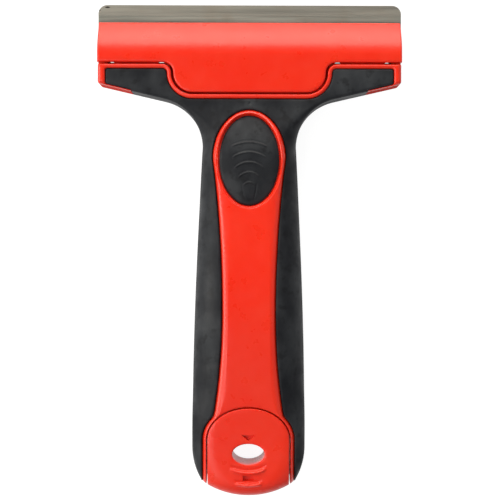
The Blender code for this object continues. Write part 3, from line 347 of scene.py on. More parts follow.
def handleSurface(points, side, inset=0.0):
    # side +1 is the front, -1 the back
    h, y = handle, points[:, 1]
    out = lineDistance(np.stack([np.abs(points[:, 0]), y], axis=1), sideLine(inset))
    way = "front" if side > 0 else "back"
    width, depth = rimSize(y, h[way + "Share"], h[way + "Drop"])
    endRound = max(h["endFrontRound" if side > 0 else "endBackRound"] - inset, h["leastRound"])
    width, depth = np.maximum(width - inset, h["leastRound"]), np.maximum(depth - inset, h["leastRound"])
    rim = roundDrop(out, width, depth)
    end = roundDrop(endDistance(points, inset), endRound, endRound)
    drop = (rim ** 3 + end ** 3) ** (1 / 3)
    if inset and side > 0:
        inset = inset - (parting["gripThickness"] - parting["panelThickness"]) * ease(y, *h["headBlend"])
    return heightAlong(h[way + "Line"], y) - side * (drop + inset)


def at(value, points):
    # a size that is either fixed or changes with the place on the handle
    return value(points) if callable(value) else value


def grooveDrop(points, grooves):
    drop = np.zeros(len(points))
    for line, closed, width, depth in grooves:
        away = lineDistance(points, line, closed) - grooveFlat
        drop = np.maximum(drop, roundDrop(away, at(width, points), at(depth, points)))
    return drop


def grooved(points, side, grooves):
    return handleSurface(points, side) - side * grooveDrop(points, grooves)


def grooveGuides(grooves, sides, spacing):
    # edge loops beside each groove, closer together where it is steeper
    lines = []
    for (line, closed, width, _), way in zip(grooves, sides):
        even = resample(line, spacing, closed)
        for share in loopShares["groove"]:
            away = grooveFlat + at(width, even) * share
            for sign in way:
                lines.append((offsetLine(even, sign * away, closed), closed))
    return lines


def rimGuides(inset=0.0):
    line = sideLine(inset)
    lines = []
    for share in loopShares["rim"]:
        width = rimSize(line[:, 1], handle["frontShare"], handle["frontDrop"])[0]
        width = np.maximum(width - inset, handle["leastRound"])
        ring = offsetLine(line, -width * share)
        lines += [(ring, False), (ring * [-1, 1], False)]
    return lines


def endGuides(endRound):
    return [(np.array(arc((0, endCentreY), handle["endArc"] - endRound * share, -145, -35, 2.5)), False)
            for share in loopShares["edge"]]


def crossLine(y, half=20.0, step=40.0):
    return resample([(-half, y), (half, y)], step), False


# solids
def newObject(name, data):
    thing = bpy.data.objects.new(name, data)
    bpy.context.scene.collection.objects.link(thing)
    return thing


def newSolid(name, verts, faces):
    mesh = bpy.data.meshes.new(name)
    mesh.from_pydata([(x * mm, y * mm, z * mm) for x, y, z in verts], [], faces)
    mesh.update()
    return newObject(name, mesh)


def slab(name, guides, inside, topOf, bottomOf, spacing, fineZones=()):
    # closed solid over a region seen from the front, between two surfaces
    spacing = spacing * 1.0
    coords, edges = [], []
    for line, closed in guides:
        first, count = len(coords), len(line)
        coords += [(float(x), float(y)) for x, y in line]
        edges += [(first + i, first + i + 1) for i in range(count - 1)]
        if closed:
            edges.append((first + count - 1, first))
    low, high = np.min(coords, axis=0), np.max(coords, axis=0)
    tree = KDTree(len(coords))
    for index, point in enumerate(coords):
        tree.insert((point[0], point[1], 0.0), index)
    tree.balance()
    cells = [(low[0], low[1], high[0], high[1], spacing)] + list(fineZones)
    for number, (x0, y0, x1, y1, step) in enumerate(cells):
        rows = np.arange(y0 + step / 2, y1, step * 0.866)
        grid = np.array([(x + (step / 2 if row % 2 else 0.0), y) for row, y in enumerate(rows)
                         for x in np.arange(x0 + step / 4, x1, step)])
        if number == 0:
            for xA, yA, xB, yB, _ in fineZones:
                gx, gy = grid.T
                grid = grid[~((gx > xA) & (gx < xB) & (gy > yA) & (gy < yB))]
        grid = grid[inside(grid)]
        coords += [(float(x), float(y)) for x, y in grid if tree.find((x, y, 0.0))[2] > step * 0.5]
    flat, _, faces, *_ = delaunay_2d_cdt([Vector(c) for c in coords], edges, [], 0, 1e-4)
    flat = np.array([(v.x, v.y) for v in flat])
    faces = np.array([f for f in faces if len(f) == 3])
    faces = faces[inside(flat[faces].mean(axis=1))]
    used = np.unique(faces)
    renumber = np.full(len(flat), -1)
    renumber[used] = np.arange(len(used))
    faces, flat = renumber[faces], flat[used]
    ab, ac = flat[faces[:, 1]] - flat[faces[:, 0]], flat[faces[:, 2]] - flat[faces[:, 0]]
    turned = ab[:, 0] * ac[:, 1] - ab[:, 1] * ac[:, 0] < 0
    faces[turned] = faces[turned][:, ::-1]
    top, bottom = topOf(flat), bottomOf(flat)
    count = len(flat)
    verts = [(x, y, z) for (x, y), z in zip(flat, top)] + [(x, y, z) for (x, y), z in zip(flat, bottom)]
    rims = {}
    for a, b, c in faces.tolist():
        for pair in ((a, b), (b, c), (c, a)):
            rims[pair] = True
    walls = [(b, a, a + count, b + count) for a, b in rims if (b, a) not in rims]
    return newSolid(name, verts, faces.tolist() + (faces[:, ::-1] + count).tolist() + walls)


def mend(solid, task):
    bm = bmesh.new()
    bm.from_mesh(solid.data)
    task(bm)
    bm.to_mesh(solid.data)
    bm.free()


def turnOut(solid):
    mend(solid, lambda bm: bmesh.ops.recalc_face_normals(bm, faces=bm.faces))


def between(name, ringA, ringB):
    # closed solid from one ring of points to the next
    count = len(ringA)
    faces = [tuple(range(count)), tuple(reversed(range(count, count * 2)))]
    faces += [(i, i + count, (i + 1) % count + count, (i + 1) % count) for i in range(count)]
    solid = newSolid(name, ringA + ringB, faces)
    turnOut(solid)
    return solid


def prism(name, outline, lowZ, highZ):
    return between(name, *([(x, y, z) for x, y in outline] for z in (highZ, lowZ)))


def block(name, low, high):
    (x0, y0, z0), (x1, y1, z1) = low, high
    return prism(name, [(x0, y0), (x1, y0), (x1, y1), (x0, y1)], z0, z1)


def sideBlock(name, side, innerX, outerX, low, high):
    xA, xB = sorted((side * innerX, side * outerX))
    return block(name, (xA, *low), (xB, *high))


def acrossPrism(name, profile, xA, xB):
    # prism along X on a profile of (y, z)
    return between(name, *([(x, y, z) for y, z in profile] for x in sorted((xA, xB))))


def keepShape(host):
    # what the modifiers make becomes the host's own mesh
    graph = bpy.context.evaluated_depsgraph_get()
    mesh = bpy.data.meshes.new_from_object(host.evaluated_get(graph))
    host.modifiers.clear()
    host.data = mesh


def boolean(solid, tool, operation):
    modifier = solid.modifiers.new(operation, "BOOLEAN")
    modifier.operation = operation
    modifier.solver = "EXACT"
    modifier.object = tool
    keepShape(solid)
    bpy.data.objects.remove(tool)


def cut(solid, first, *rest):
    # tools joined here start and end at different heights, so their level faces lie in planes of their own
    for tool in rest:
        boolean(first, tool, "UNION")
    boolean(solid, first, "DIFFERENCE")


def add(solid, tool):
    boolean(solid, tool, "UNION")


def shade(solid, degrees):
    solid.data.shade_smooth()
    solid.data.set_sharp_from_angle(angle=math.radians(degrees))


def smooth(solid, degrees=34.0):
    mend(solid, lambda bm: bmesh.ops.dissolve_degenerate(bm, edges=bm.edges, dist=0.004 * mm))
    shade(solid, degrees)
    weighted = solid.modifiers.new("weightedNormals", "WEIGHTED_NORMAL")
    weighted.keep_sharp = True
    weighted.weight = 60


# materials
def feed(node, sockets):
    # sets or links a node's inputs, by name or number
    for key, value in sockets.items():
        socket = node.inputs[key]
        if isinstance(value, bpy.types.NodeSocket):
            node.id_data.links.new(value, socket)
        elif socket.type == "RGBA":
            socket.default_value = (*value, 1.0)
        else:
            socket.default_value = value


def addNode(tree, kind, sockets=None, **values):
    node = tree.nodes.new(kind)
    for key, value in values.items():
        setattr(node, key, value)
    feed(node, sockets or {})
    return node


def nodeMaterial(name):
    material = bpy.data.materials.new(name)
    material.use_nodes = True
    tree = material.node_tree
    return material, tree, tree.nodes["Principled BSDF"]


def calculator(tree):
    def calc(operation, a, b=0.0, c=0.0):
        return addNode(tree, "ShaderNodeMath", {0: a, 1: b, 2: c}, operation=operation).outputs[0]
    return calc


def split(vector):
    return addNode(vector.id_data, "ShaderNodeSeparateXYZ", {0: vector}).outputs


def noise(coords, scale, detail=3.0, stretch=(1.0, 1.0, 1.0), offset=(0.0, 0.0, 0.0)):
    tree = coords.id_data
    mapping = addNode(tree, "ShaderNodeMapping", {"Scale": stretch, "Location": offset, "Vector": coords})
    sockets = {"Scale": scale, "Detail": detail, "Vector": mapping.outputs["Vector"]}
    return addNode(tree, "ShaderNodeTexNoise", sockets).outputs["Fac"]


def ramp(source, low, high, colourLow, colourHigh):
    node = addNode(source.id_data, "ShaderNodeValToRGB", {"Fac": source})
    for index, place, colour in ((0, low, colourLow), (1, high, colourHigh)):
        node.color_ramp.elements[index].position = place
        node.color_ramp.elements[index].color = (*colour, 1.0)
    return node.outputs["Color"]


def mixColour(factor, a, b):
    return addNode(factor.id_data, "ShaderNodeMix", {0: factor, 6: a, 7: b}, data_type="RGBA").outputs[2]


def mixNumber(factor, a, b):
    return addNode(factor.id_data, "ShaderNodeMix", {0: factor, 2: a, 3: b}, data_type="FLOAT").outputs[0]


def mapRange(source, fromLow, fromHigh, toLow, toHigh):
    sockets = {"Value": source, "From Min": fromLow, "From Max": fromHigh, "To Min": toLow, "To Max": toHigh}
    return addNode(source.id_data, "ShaderNodeMapRange", sockets).outputs["Result"]


def bump(shader, layers):
    # layers: (height socket, strength, distance in mm), coarse first
    below = {}
    for height, strength, distance in layers:
        sockets = {"Strength": strength, "Distance": distance * mm, "Height": height, **below}
        below = {"Normal": addNode(shader.id_data, "ShaderNodeBump", sockets).outputs["Normal"]}
    feed(shader, below)


redFinish = dict(
    glow=0.25, glowDepth=1.2, glowSpread=(1.0, 0.15, 0.08),
    colour=(0.88, 0.023, 0.005), faded=(0.89, 0.032, 0.009), deep=(0.78, 0.015, 0.004),
    roughness=(0.26, 0.36), grainSize=0.16, grainDepth=0.006, waveDepth=0.02, streakDepth=0.03,
    backZ=(10.0, 11.5), backY=(40.0, 44.0), backRoughness=0.9)


def makeRedPlastic(name, rougherBack=False):
    f = redFinish
    material, tree, shader = nodeMaterial(name)
    coords = addNode(tree, "ShaderNodeTexCoord").outputs["Object"]
    cloudy = noise(coords, 55.0, 4.0)
    specks = noise(coords, 900.0, 2.0, offset=(0.3, 0.1, 0.0))
    base = ramp(cloudy, 0.35, 0.68, f["colour"], f["faded"])
    base = mixColour(mapRange(specks, 0.64, 0.8, 0.0, 0.1), base, f["deep"])
    rough = noise(coords, 240.0, 5.0, offset=(0.0, 0.2, 0.5))
    level = mapRange(rough, 0.3, 0.7, *f["roughness"])
    if rougherBack:
        # the mould's lower half has a coarser finish along the head's walls
        place = split(coords)
        depth = mapRange(place["Z"], *(z * mm for z in f["backZ"]), 1.0, 0.0)
        head = mapRange(place["Y"], *(y * mm for y in f["backY"]), 0.0, 1.0)
        level = mixNumber(calculator(tree)("MULTIPLY", depth, head), level, f["backRoughness"])
    feed(shader, {
        "Base Color": base, "Roughness": level, "Specular IOR Level": 0.5, "Subsurface Weight": f["glow"],
        "Subsurface Radius": f["glowSpread"], "Subsurface Scale": f["glowDepth"] * mm})
    streaks = noise(coords, 420.0, 3.0, stretch=(0.07, 1.0, 1.0), offset=(0.2, 0.0, 0.4))
    waves = noise(coords, 35.0, 1.0)
    grain = noise(coords, 1.0 / (f["grainSize"] * mm), 2.0)
    bump(shader, [
        (waves, 0.25, f["waveDepth"]), (streaks, 0.3, f["streakDepth"]), (grain, 0.35, f["grainDepth"])])
    return material


rubberFinish = dict(
    colour=(0.009, 0.010, 0.013), dusty=(0.036, 0.039, 0.043), stain=(0.003, 0.003, 0.004),
    roughness=(0.42, 0.68), grainSize=0.3, grainDepth=0.02, smudgeDepth=0.05)


def makeBlackRubber():
    f = rubberFinish
    material, tree, shader = nodeMaterial("matBlackRubber")
    coords = addNode(tree, "ShaderNodeTexCoord").outputs["Object"]
    smudges = noise(coords, 110.0, 8.0, stretch=(1.0, 0.6, 1.0))
    stains = noise(coords, 300.0, 5.0, offset=(0.7, 0.2, 0.0))
    streaks = noise(coords, 120.0, 3.0, stretch=(0.25, 1.0, 1.0), offset=(0.1, 0.5, 0.0))
    base = ramp(smudges, 0.4, 0.74, f["colour"], f["dusty"])
    base = mixColour(mapRange(stains, 0.55, 0.66, 0.0, 0.5), base, f["stain"])
    level = mapRange(streaks, 0.3, 0.7, *f["roughness"])
    feed(shader, {"Base Color": base, "Roughness": level, "Specular IOR Level": 0.2})
    grain = noise(coords, 1.0 / (f["grainSize"] * mm))
    bump(shader, [(smudges, 0.3, f["smudgeDepth"]), (grain, 0.45, f["grainDepth"])])
    return material


steelFinish = dict(
    # flat: colour of the blade's flat part below the bevel, painted lighter than the bevel as a painted
    # reflection; nicks are real wear
    flat=(0.62, 0.625, 0.54), bevelStart=77.05, bevelBlend=(-0.3, 0.1),
    colour=(0.47, 0.445, 0.385), dark=(0.31, 0.29, 0.245), oxide=(0.36, 0.29, 0.21), nick=(0.02, 0.018, 0.016),
    nicks=[((-47.05, 79.9), (0.9, 0.3)), ((-49.6, 78.9), (0.3, 0.3))],  # middle and half size
    roughness=(0.3, 0.5), lineDepth=0.004)


def spot(tree, place, centre, size):
    # 0.92 inside an ellipse on the blade, 0 outside
    calc = calculator(tree)
    squares = [calc("POWER", calc("DIVIDE", calc("SUBTRACT", place[axis], middle * mm), half * mm), 2.0)
               for axis, middle, half in zip("XY", centre, size)]
    return mapRange(calc("ADD", *squares), 0.5, 1.1, 0.92, 0.0)


def makeSteel(name, along, nicksAndPaintedFlatSheen=False):
    # ground lines run along the given axis
    f = steelFinish
    material, tree, shader = nodeMaterial(name)
    coords = addNode(tree, "ShaderNodeTexCoord").outputs["Object"]
    stretch = (0.02, 1.0, 1.0) if along == "x" else (1.0, 0.02, 1.0)
    lines = noise(coords, 4200.0, stretch=stretch)
    bands = noise(coords, 700.0, stretch=stretch, offset=(0.0, 0.4, 0.0))
    blotches = noise(coords, 90.0, 5.0)
    base = f["colour"]
    if nicksAndPaintedFlatSheen:
        # painted reflection: the flat part below the bevel gets the lighter flat colour, standing in for the
        # bright wall the bevel reflects; the nicks further down are real wear
        place = split(coords)
        start, end = ((f["bevelStart"] + shift) * mm for shift in f["bevelBlend"])
        base = mixColour(mapRange(place["Y"], start, end, 0.0, 1.0), f["flat"], base)
    layers = [(lines, 0.35, 0.65, 0.4, "dark"), (bands, 0.4, 0.7, 0.35, "dark"),
              (blotches, 0.55, 0.75, 0.45, "oxide")]
    for source, low, high, share, colour in layers:
        base = mixColour(mapRange(source, low, high, 0.0, share), base, f[colour])
    for centre, size in f["nicks"] if nicksAndPaintedFlatSheen else ():
        base = mixColour(spot(tree, place, centre, size), base, f["nick"])
    feed(shader, {"Base Color": base, "Metallic": 1.0, "Roughness": mapRange(bands, 0.3, 0.7, *f["roughness"])})
    bump(shader, [(lines, 0.3, f["lineDepth"])])
    return material


redPlastic = makeRedPlastic("satinRedPlastic")
handlePlastic = makeRedPlastic("satinRedHandle", True)
blackRubber = makeBlackRubber()
bladeSteel = makeSteel("groundBladeSteel", "x", True)
spareSteel = makeSteel("groundSpareSteel", "y")
wireSteel = makeSteel("drawnWireSteel", "x")
print("stage: materials ready")


def dress(solid, material, body, node):
    solid.data.materials.clear()
    solid.data.materials.append(material)
    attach(solid, body)
    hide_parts(node)
    print("stage:", node, len(solid.data.polygons))


# Geometry Nodes: ribs moulded into a surface, and wound springs
def nodeGroup(host, name, material, sizes):
    # a node tree with one input for each size, and what ends it and keeps its result as the host's mesh
    tree = bpy.data.node_groups.new(name, "GeometryNodeTree")
    def socket(key, kind, way="INPUT"):
        return tree.interface.new_socket(key, in_out=way, socket_type="NodeSocket" + kind).identifier

    socket("Geometry", "Geometry")
    socket("Geometry", "Geometry", "OUTPUT")
    sockets = {**{key: socket(key, "Float") for key in sizes}, "Material": socket("Material", "Material")}
    given = tree.nodes.new("NodeGroupInput").outputs

    def finish(geometry):
        real = addNode(tree, "GeometryNodeRealizeInstances", {0: geometry}).outputs[0]
        paint = addNode(tree, "GeometryNodeSetMaterial", {"Geometry": real, "Material": given["Material"]})
        addNode(tree, "NodeGroupOutput", {0: paint.outputs[0]})
        modifier = host.modifiers.new(tree.name, "NODES")
        modifier.node_group = tree
        for key, value in {**sizes, "Material": material}.items():
            modifier[sockets[key]] = value
        keepShape(host)

    return tree, given, finish


def mouldedRibs(host, name, material, sizes):
    tree, g, finish = nodeGroup(host, name, material, sizes)
    calc = calculator(tree)
    times, less, over = (
        lambda a, b, kind=kind: calc(kind, a, b) for kind in ("MULTIPLY", "SUBTRACT", "DIVIDE"))
    x, y, _ = split(addNode(tree, "GeometryNodeInputPosition").outputs[0])
    facing = split(addNode(tree, "GeometryNodeInputNormal").outputs[0])
    across = calc("POWER", over(calc("ABSOLUTE", x), g["Half length"]), 2.0)
    steps = over(less(g["First line"], calc("ADD", y, times(g["Bow"], across))), g["Pitch"])
    index = calc("MAXIMUM", calc("MINIMUM", calc("ROUND", steps), g["Last rib"]), 0.0)
    share = less(1.0, times(g["Taper"], times(index, index)))
    crown = less(g["First line"], times(g["Pitch"], index))
    bow = times(times(g["Bow"], less(1.0, times(g["Flatten"], index))), across)
    away = over(less(y, less(crown, over(bow, share))), times(g["Width"], 0.5))

    def hill(distance):
        level = calc("MAXIMUM", less(1.0, times(distance, distance)), 0.0)
        return times(level, level)

    shape = less(hill(away), times(g["Valley"], hill(less(away, 1.5))))
    room = less(times(g["Half length"], share), calc("ABSOLUTE", x))
    fade = calc("MINIMUM", calc("MAXIMUM", over(room, g["Width"]), 0.0), 1.0)
    rise = times(times(times(shape, fade), g["Height"]), calc("GREATER_THAN", facing[2], 0.5))
    shift = addNode(tree, "ShaderNodeCombineXYZ", {2: rise}).outputs[0]
    move = addNode(tree, "GeometryNodeSetPosition", {"Geometry": g["Geometry"], "Offset": shift})
    finish(move.outputs[0])


def woundSpring(host, name, material, sizes):
    # the coils lie flat at both ends
    tree, g, finish = nodeGroup(host, name, material, sizes)
    calc = calculator(tree)
    straight = addNode(tree, "GeometryNodeCurvePrimitiveLine").outputs[0]
    points = addNode(tree, "GeometryNodeResampleCurve", {"Count": 240, "Curve": straight}).outputs[0]
    share = addNode(tree, "GeometryNodeSplineParameter").outputs["Factor"]
    angle = calc("MULTIPLY", calc("MULTIPLY", g["Turns"], 2 * math.pi), share)
    heights = {"Value": share, "To Min": g["Low Z"], "To Max": g["High Z"]}
    climb = addNode(tree, "ShaderNodeMapRange", heights, interpolation_type="SMOOTHSTEP").outputs[0]
    x = calc("MULTIPLY_ADD", calc("COSINE", angle), g["Radius"], g["Middle X"])
    y = calc("MULTIPLY_ADD", calc("SINE", angle), g["Radius"], g["Middle Y"])
    place = addNode(tree, "ShaderNodeCombineXYZ", {0: x, 1: y, 2: climb}).outputs[0]
    wind = addNode(tree, "GeometryNodeSetPosition", {"Geometry": points, "Position": place}).outputs[0]
    radius = calc("MULTIPLY", g["Wire"], 0.5)
    circle = addNode(tree, "GeometryNodeCurvePrimitiveCircle", {"Resolution": 14, "Radius": radius}).outputs[0]
    wire = addNode(tree, "GeometryNodeCurveToMesh", {"Fill Caps": True, "Curve": wind, "Profile Curve": circle})
    finish(wire.outputs[0])


# the red handle and the soft grip
strip = stripOutline()
redHead = redHeadOutline()
headBack = headBackOutline()
outline = silhouette()


def redTools(gap):
    # what stays red: strip, head rim, head back and the fork round the cap
    grown = lambda line: offsetLine(resample(line, 1.0, True), -gap, True)
    fork = parting["forkX"] - gap
    return [
        prism("stripTool", grown(strip), parting["z"] - 0.1, 40),
        prism("headTool", grown(redHead), parting["z"] - 0.2 - gap, 41),
        prism("headBackTool", grown(headBack), -20, parting["z"]),
        block("forkTool", (-fork, -far, -21), (fork, cap["faceY"] - gap, 42))]


def insetBody(inset):
    body = silhouette(inset)
    top, bottom = (lambda q, side=side: handleSurface(q, side, inset) for side in (1, -1))
    return slab("insetBody", [(body, True)] + rimGuides(inset), within(body), top, bottom, 2.4)


def partingEdges(seam):
    return [offsetLine(resample(line, 0.9, True), seam, True) for line in (strip, redHead)]


def bodyGuides(middle):
    return [(outline, True)] + middle + rimGuides() + endGuides(handle["endFrontRound"])


def hingeBore(side, innerX, outerX):
    ring = arc((hinge["y"], hinge["z"]), hinge["bore"], 0.0, 345.0, 15.0)
    return acrossPrism("bore", ring, side * (innerX - play), side * outerX)


def makeHandle():
    p, c, k = parting, cover, hinge
    seam = 0.07
    stripEdge, headEdge = partingEdges(-seam)
    coverEdge = coverOutline(pastX, pastY, p["slit"])
    pocket = oval((0, p["pocketY"]), *p["pocket"], 96)
    lipX, lipY = p["lipInset"]
    lip = oval((0, p["ringY"]), p["ringHalfWidth"] - lipX, p["ringHalfLength"] - lipY, 96)
    capEdge = capOutline(cap["gap"])

    def rounding(part):
        # full on the strip, tighter round the ring
        step = p["ringRound"][part] - p["redRound"][part]
        return lambda q: p["redRound"][part] + step * ease(q[:, 1], *p["ringBlend"])

    def innerRounding(part):
        # the ring's inner edge is softer at its top and on the right
        size = p["pocketRound"][part]
        return lambda q: size * (
            1.0 + 0.9 * np.maximum(ease(q[:, 0], *p["softerX"]), ease(q[:, 1], *p["lipFade"])))

    def lipDepth(q):
        low = 0.4 + 0.6 * ease(q[:, 1], *p["lipEndFade"])
        return p["lipRound"][1] * low * (1.0 - 0.85 * ease(q[:, 1], *p["lipFade"]))

    grooves = [
        (stripEdge, True, rounding(0), rounding(1)), (lip, True, p["lipRound"][0], lipDepth),
        (headEdge, True, *p["headRound"]), (coverEdge, True, *p["slitRound"]),
        (pocket, True, innerRounding(0), innerRounding(1)), (capEdge, True, *p["capRound"])]
    sides = [(-1,), (-1, 1), (-1,), (1,), (1,), (1,)]

    def top(points):
        step = np.where(inPolygon(points, lip), p["lipStep"], 0.0) * (1.0 - ease(points[:, 1], *p["lipFade"]))
        return grooved(points, 1, grooves) - step

    guides = bodyGuides(grooveGuides(grooves, sides, 0.9))
    body = slab("redHandle", guides, within(outline), top, lambda q: handleSurface(q, -1), 1.5)
    room = block("gripRoom", (-far, -far, -10), (far, p["gripEndY"], 35))
    cut(room, insetBody(p["gripThickness"] + 0.1))
    cut(room, *redTools(seam))
    cut(body, room)
    seat = block("seat", (-far, k["y"], blade["seatZ"]), (far, far, 42))
    cut(body, prism("coverZone", coverEdge, c["pocketFloorZ"], 41), seat)
    backY = c["rearY"] - p["slit"] - k["earReach"]
    nose = arc((k["y"], k["z"]), k["ear"], 0.0, 90.0, 10.0)
    ears = nose + [(backY, k["z"] + k["ear"]), (backY, k["earLowZ"]), (k["y"] + k["ear"], k["earLowZ"])]
    for side in (1, -1):
        peg = oval((side * blade["pegX"], blade["pegY"]), blade["pegRadius"], blade["pegRadius"], 32)
        add(body, acrossPrism("ears", ears, side * k["earInnerX"], side * handle["headHalf"]))
        add(body, prism("peg", peg, *blade["pegZ"]))
    cut(body, slab("padPocket", [(pocket, True)], within(pocket), flatAt(43.0),
                   lambda q: frontZ(q) - p["pocketDepth"], 1.5))
    channel = tray["channelHalf"]
    cut(body, block("channel", (-channel, -far, tray["channelLow"]),
                    (channel, tray["channelEndY"], tray["channelHigh"])))
    slotTop, slotBack = k["z"] + k["knuckle"] + play, k["y"] - k["knuckle"] - play
    slotEnd = k["y"] + k["slotReach"]
    slot = [(slotBack, -12), (slotEnd, -12), (slotEnd, slotTop), (slotBack, slotTop)]
    for side in (1, -1):
        well = oval((side * springs["x"], springs["y"]), springs["wellRadius"], springs["wellRadius"], 40)
        cut(body, acrossPrism("slot", slot, side * k["slotInnerX"], side * k["slotOuterX"]))
        cut(body, hingeBore(side, k["earInnerX"], far))
        cut(body, prism("well", well, springs["wellFloorZ"], c["topZ"]))
    through = prism("capThrough", capEdge, -16, 44)
    boolean(through, block("throughZone", (-far, -far, -17), (far, cap["faceY"], 45)), "INTERSECT")
    cut(body, through)
    stopY = cap["faceY"] - 2
    cut(body, slab(
        "capRecess", [(resample(capEdge, 1.0, True), True), crossLine(stopY)],
        lambda q: inPolygon(q, capEdge) & (q[:, 1] > stopY), flatAt(46.0),
        lambda q: frontZ(q) - cap["plate"] - play, 2.0))
    smooth(body)
    dress(body, handlePlastic, "handle", "handle_core")


def makeGrip():
    p = parting
    seam = 0.05
    stripEdge, headEdge = partingEdges(seam)
    backEdge = crossLine(p["backEndY"], 60, 1.2)[0]
    fork, lowY = p["forkX"], cap["lowY"]
    forkEdge = resample([(fork, lowY), (fork, cap["faceY"]), (-fork, cap["faceY"]), (-fork, lowY)], 1.2)
    frontGrooves = [(stripEdge, True, *p["blackRound"]), (headEdge, True, *p["blackRound"])]
    backGrooves = [(backEdge, False, *p["blackRound"]), (forkEdge, False, *p["blackRound"])]

    def top(points):
        gate = np.hypot(points[:, 0] - p["gate"][0], points[:, 1] - p["gate"][1]) / p["gateRadius"]
        gate = p["gateDepth"] * np.exp(-gate ** 2)
        sink = gate + p["blackSink"] + (p["panelSink"] - p["blackSink"]) * ease(points[:, 1], *p["sinkFrom"])
        return grooved(points, 1, frontGrooves) - sink

    seams = grooveGuides(frontGrooves, [(1,), (1,)], 0.9) + grooveGuides(backGrooves, [(-1, 1), (-1, 1)], 1.2)
    gateX, gateY = p["gate"]
    grip = slab(
        "softGrip", bodyGuides(seams), lambda q: inPolygon(q, outline) & (q[:, 1] < p["gripEndY"]), top,
        lambda q: grooved(q, -1, backGrooves), 1.3, [(gateX - 1.2, gateY - 0.9, gateX + 1.2, gateY + 0.9, 0.2)])
    cut(grip, insetBody(p["gripThickness"]))
    cut(grip, *redTools(-seam))
    smooth(grip)
    dress(grip, blackRubber, "handle", "soft_grip")


# thumb pad
pad = dict(middleY=28.8, halfWidth=9.7, halfLength=14.7, edgeDrop=1.1, crown=1.6, sole=1.6, edgeRound=0.9)
padSeams = dict(line=[(2.4, 21.0), (2.15, 18.8), (1.6, 16.6)], leftShare=0.35, width=0.4, depth=0.22)
plainSizes = ("Taper", "Valley", "Flatten", "Last rib", "Turns")  # not lengths
padRibs = {"First line": 34.5, "Pitch": 3.24, "Half length": 5.8, "Bow": 1.41, "Width": 0.85, "Height": 0.3,
           "Flatten": -0.32, "Taper": 0.04, "Valley": 0.35, "Last rib": 4.0}


def inMetres(sizes):
    return {key: value if key in plainSizes else value * mm for key, value in sizes.items()}


def makePad():
    edge = oval((0, pad["middleY"]), pad["halfWidth"], pad["halfLength"], 120)
    seam = np.array(padSeams["line"])
    seams = [(seam, False, padSeams["width"], padSeams["depth"]),
             (seam * [-1, 1], False, padSeams["width"], padSeams["depth"] * padSeams["leftShare"])]

    def top(points):
        x, y = points.T
        out = (x / pad["halfWidth"]) ** 2 + ((y - pad["middleY"]) / pad["halfLength"]) ** 2
        z = frontZ(points) - pad["edgeDrop"] + pad["crown"] * (1 - out) - grooveDrop(points, seams)
        return z - roundDrop(lineDistance(points, edge, True), pad["edgeRound"], pad["edgeRound"] * 0.5)

    solid = slab("thumbPad", edgeRings(edge, pad["edgeRound"]), within(edge), top,
                 lambda q: frontZ(q) - pad["sole"] - 0.1, 0.26)
    mouldedRibs(solid, "thumbRibs", blackRubber, inMetres(padRibs))
    smooth(solid, 50.0)
    dress(solid, blackRubber, "handle", "thumb_pad")


# clamp cover
def coverTop(y):
    share = np.clip((cover["lipY"] - y) / cover["slopeDepth"], 0.0, 1.0)
    return cover["lipZ"] + (cover["topZ"] - cover["lipZ"]) * np.sin(share * math.pi / 2)


def makeCover():
    c, k = cover, hinge
    half = c["half"]
    shape = resample(coverOutline(half, c["lipY"]), 1.0, True)
    inner = half - c["endWall"]
    barY = c["lipY"] - c["barDepth"]

    def top(points):
        drop = roundDrop(lineDistance(points, shape, True), c["edgeRound"], c["edgeRound"] * 0.9)
        return coverTop(points[:, 1]) - drop

    guides = edgeRings(shape, c["edgeRound"])
    for share in np.linspace(0.03, 1.15, 18):
        y = c["lipY"] - c["slopeDepth"] * share ** 1.3
        guides.append(crossLine(y, half - 0.9, 1.6))
    solid = slab("clampCover", guides, within(shape), top, flatAt(c["backZ"]), 1.5)
    rows = np.linspace(barY - 0.4, c["lipY"] - c["slopeDepth"], 8)
    box = np.array([(-inner, 40), (inner, 40), (inner, barY), (-inner, barY)])
    cut(solid, slab(
        "coverHollow", [(box, True)] + [crossLine(y, inner, 4.0) for y in rows],
        lambda q: (np.abs(q[:, 0]) < inner) & (q[:, 1] > 40) & (q[:, 1] < barY),
        lambda q: coverTop(q[:, 1]) - c["wall"], flatAt(-8.0), 8.0))
    cut(solid, block("tongueRoom", (-far, 30, -9), (far, c["rearY"] - play, c["topZ"] - c["tongueThickness"])))
    earY, earZ = k["y"] + k["ear"] + play, k["z"] + k["ear"] + 2 * play
    web = c["topZ"] - c["wall"] / 2
    knuckle = arc((k["y"], k["z"]), k["knuckle"], 135.0, 360.0, 9.0)
    knuckle += [(k["y"] + k["knuckle"], web), (c["rearY"], web), (c["rearY"], k["z"] + k["knuckle"])]
    for side in (1, -1):
        cut(solid, sideBlock("earRoom", side, inner - play, far, (c["rearY"] - 0.6, -10), (earY, earZ)))
        add(solid, acrossPrism("knuckle", knuckle, side * k["knuckleInnerX"], side * k["knuckleOuterX"]))
        cut(solid, hingeBore(side, k["knuckleInnerX"], k["knuckleOuterX"] + play))
        boss = oval((side * springs["x"], springs["y"]), springs["bossRadius"], springs["bossRadius"], 32)
        add(solid, prism("boss", boss, *springs["bossZ"]))
        add(solid, sideBlock("rib", side, c["ribX"] - c["ribHalf"], c["ribX"] + c["ribHalf"],
                             (c["rearY"] + 2, c["ribZ"][0]), (barY + play, c["ribZ"][1])))
    smooth(solid)
    dress(solid, redPlastic, "cover", "clamp_cover")


# drawer with its cap
fingerRibs = {"First line": -72.5, "Pitch": 4.0, "Half length": 5.9, "Bow": -1.45, "Width": 1.5, "Height": 0.65,
              "Flatten": 0.6, "Taper": 0.24, "Valley": 0.45, "Last rib": 1.0}


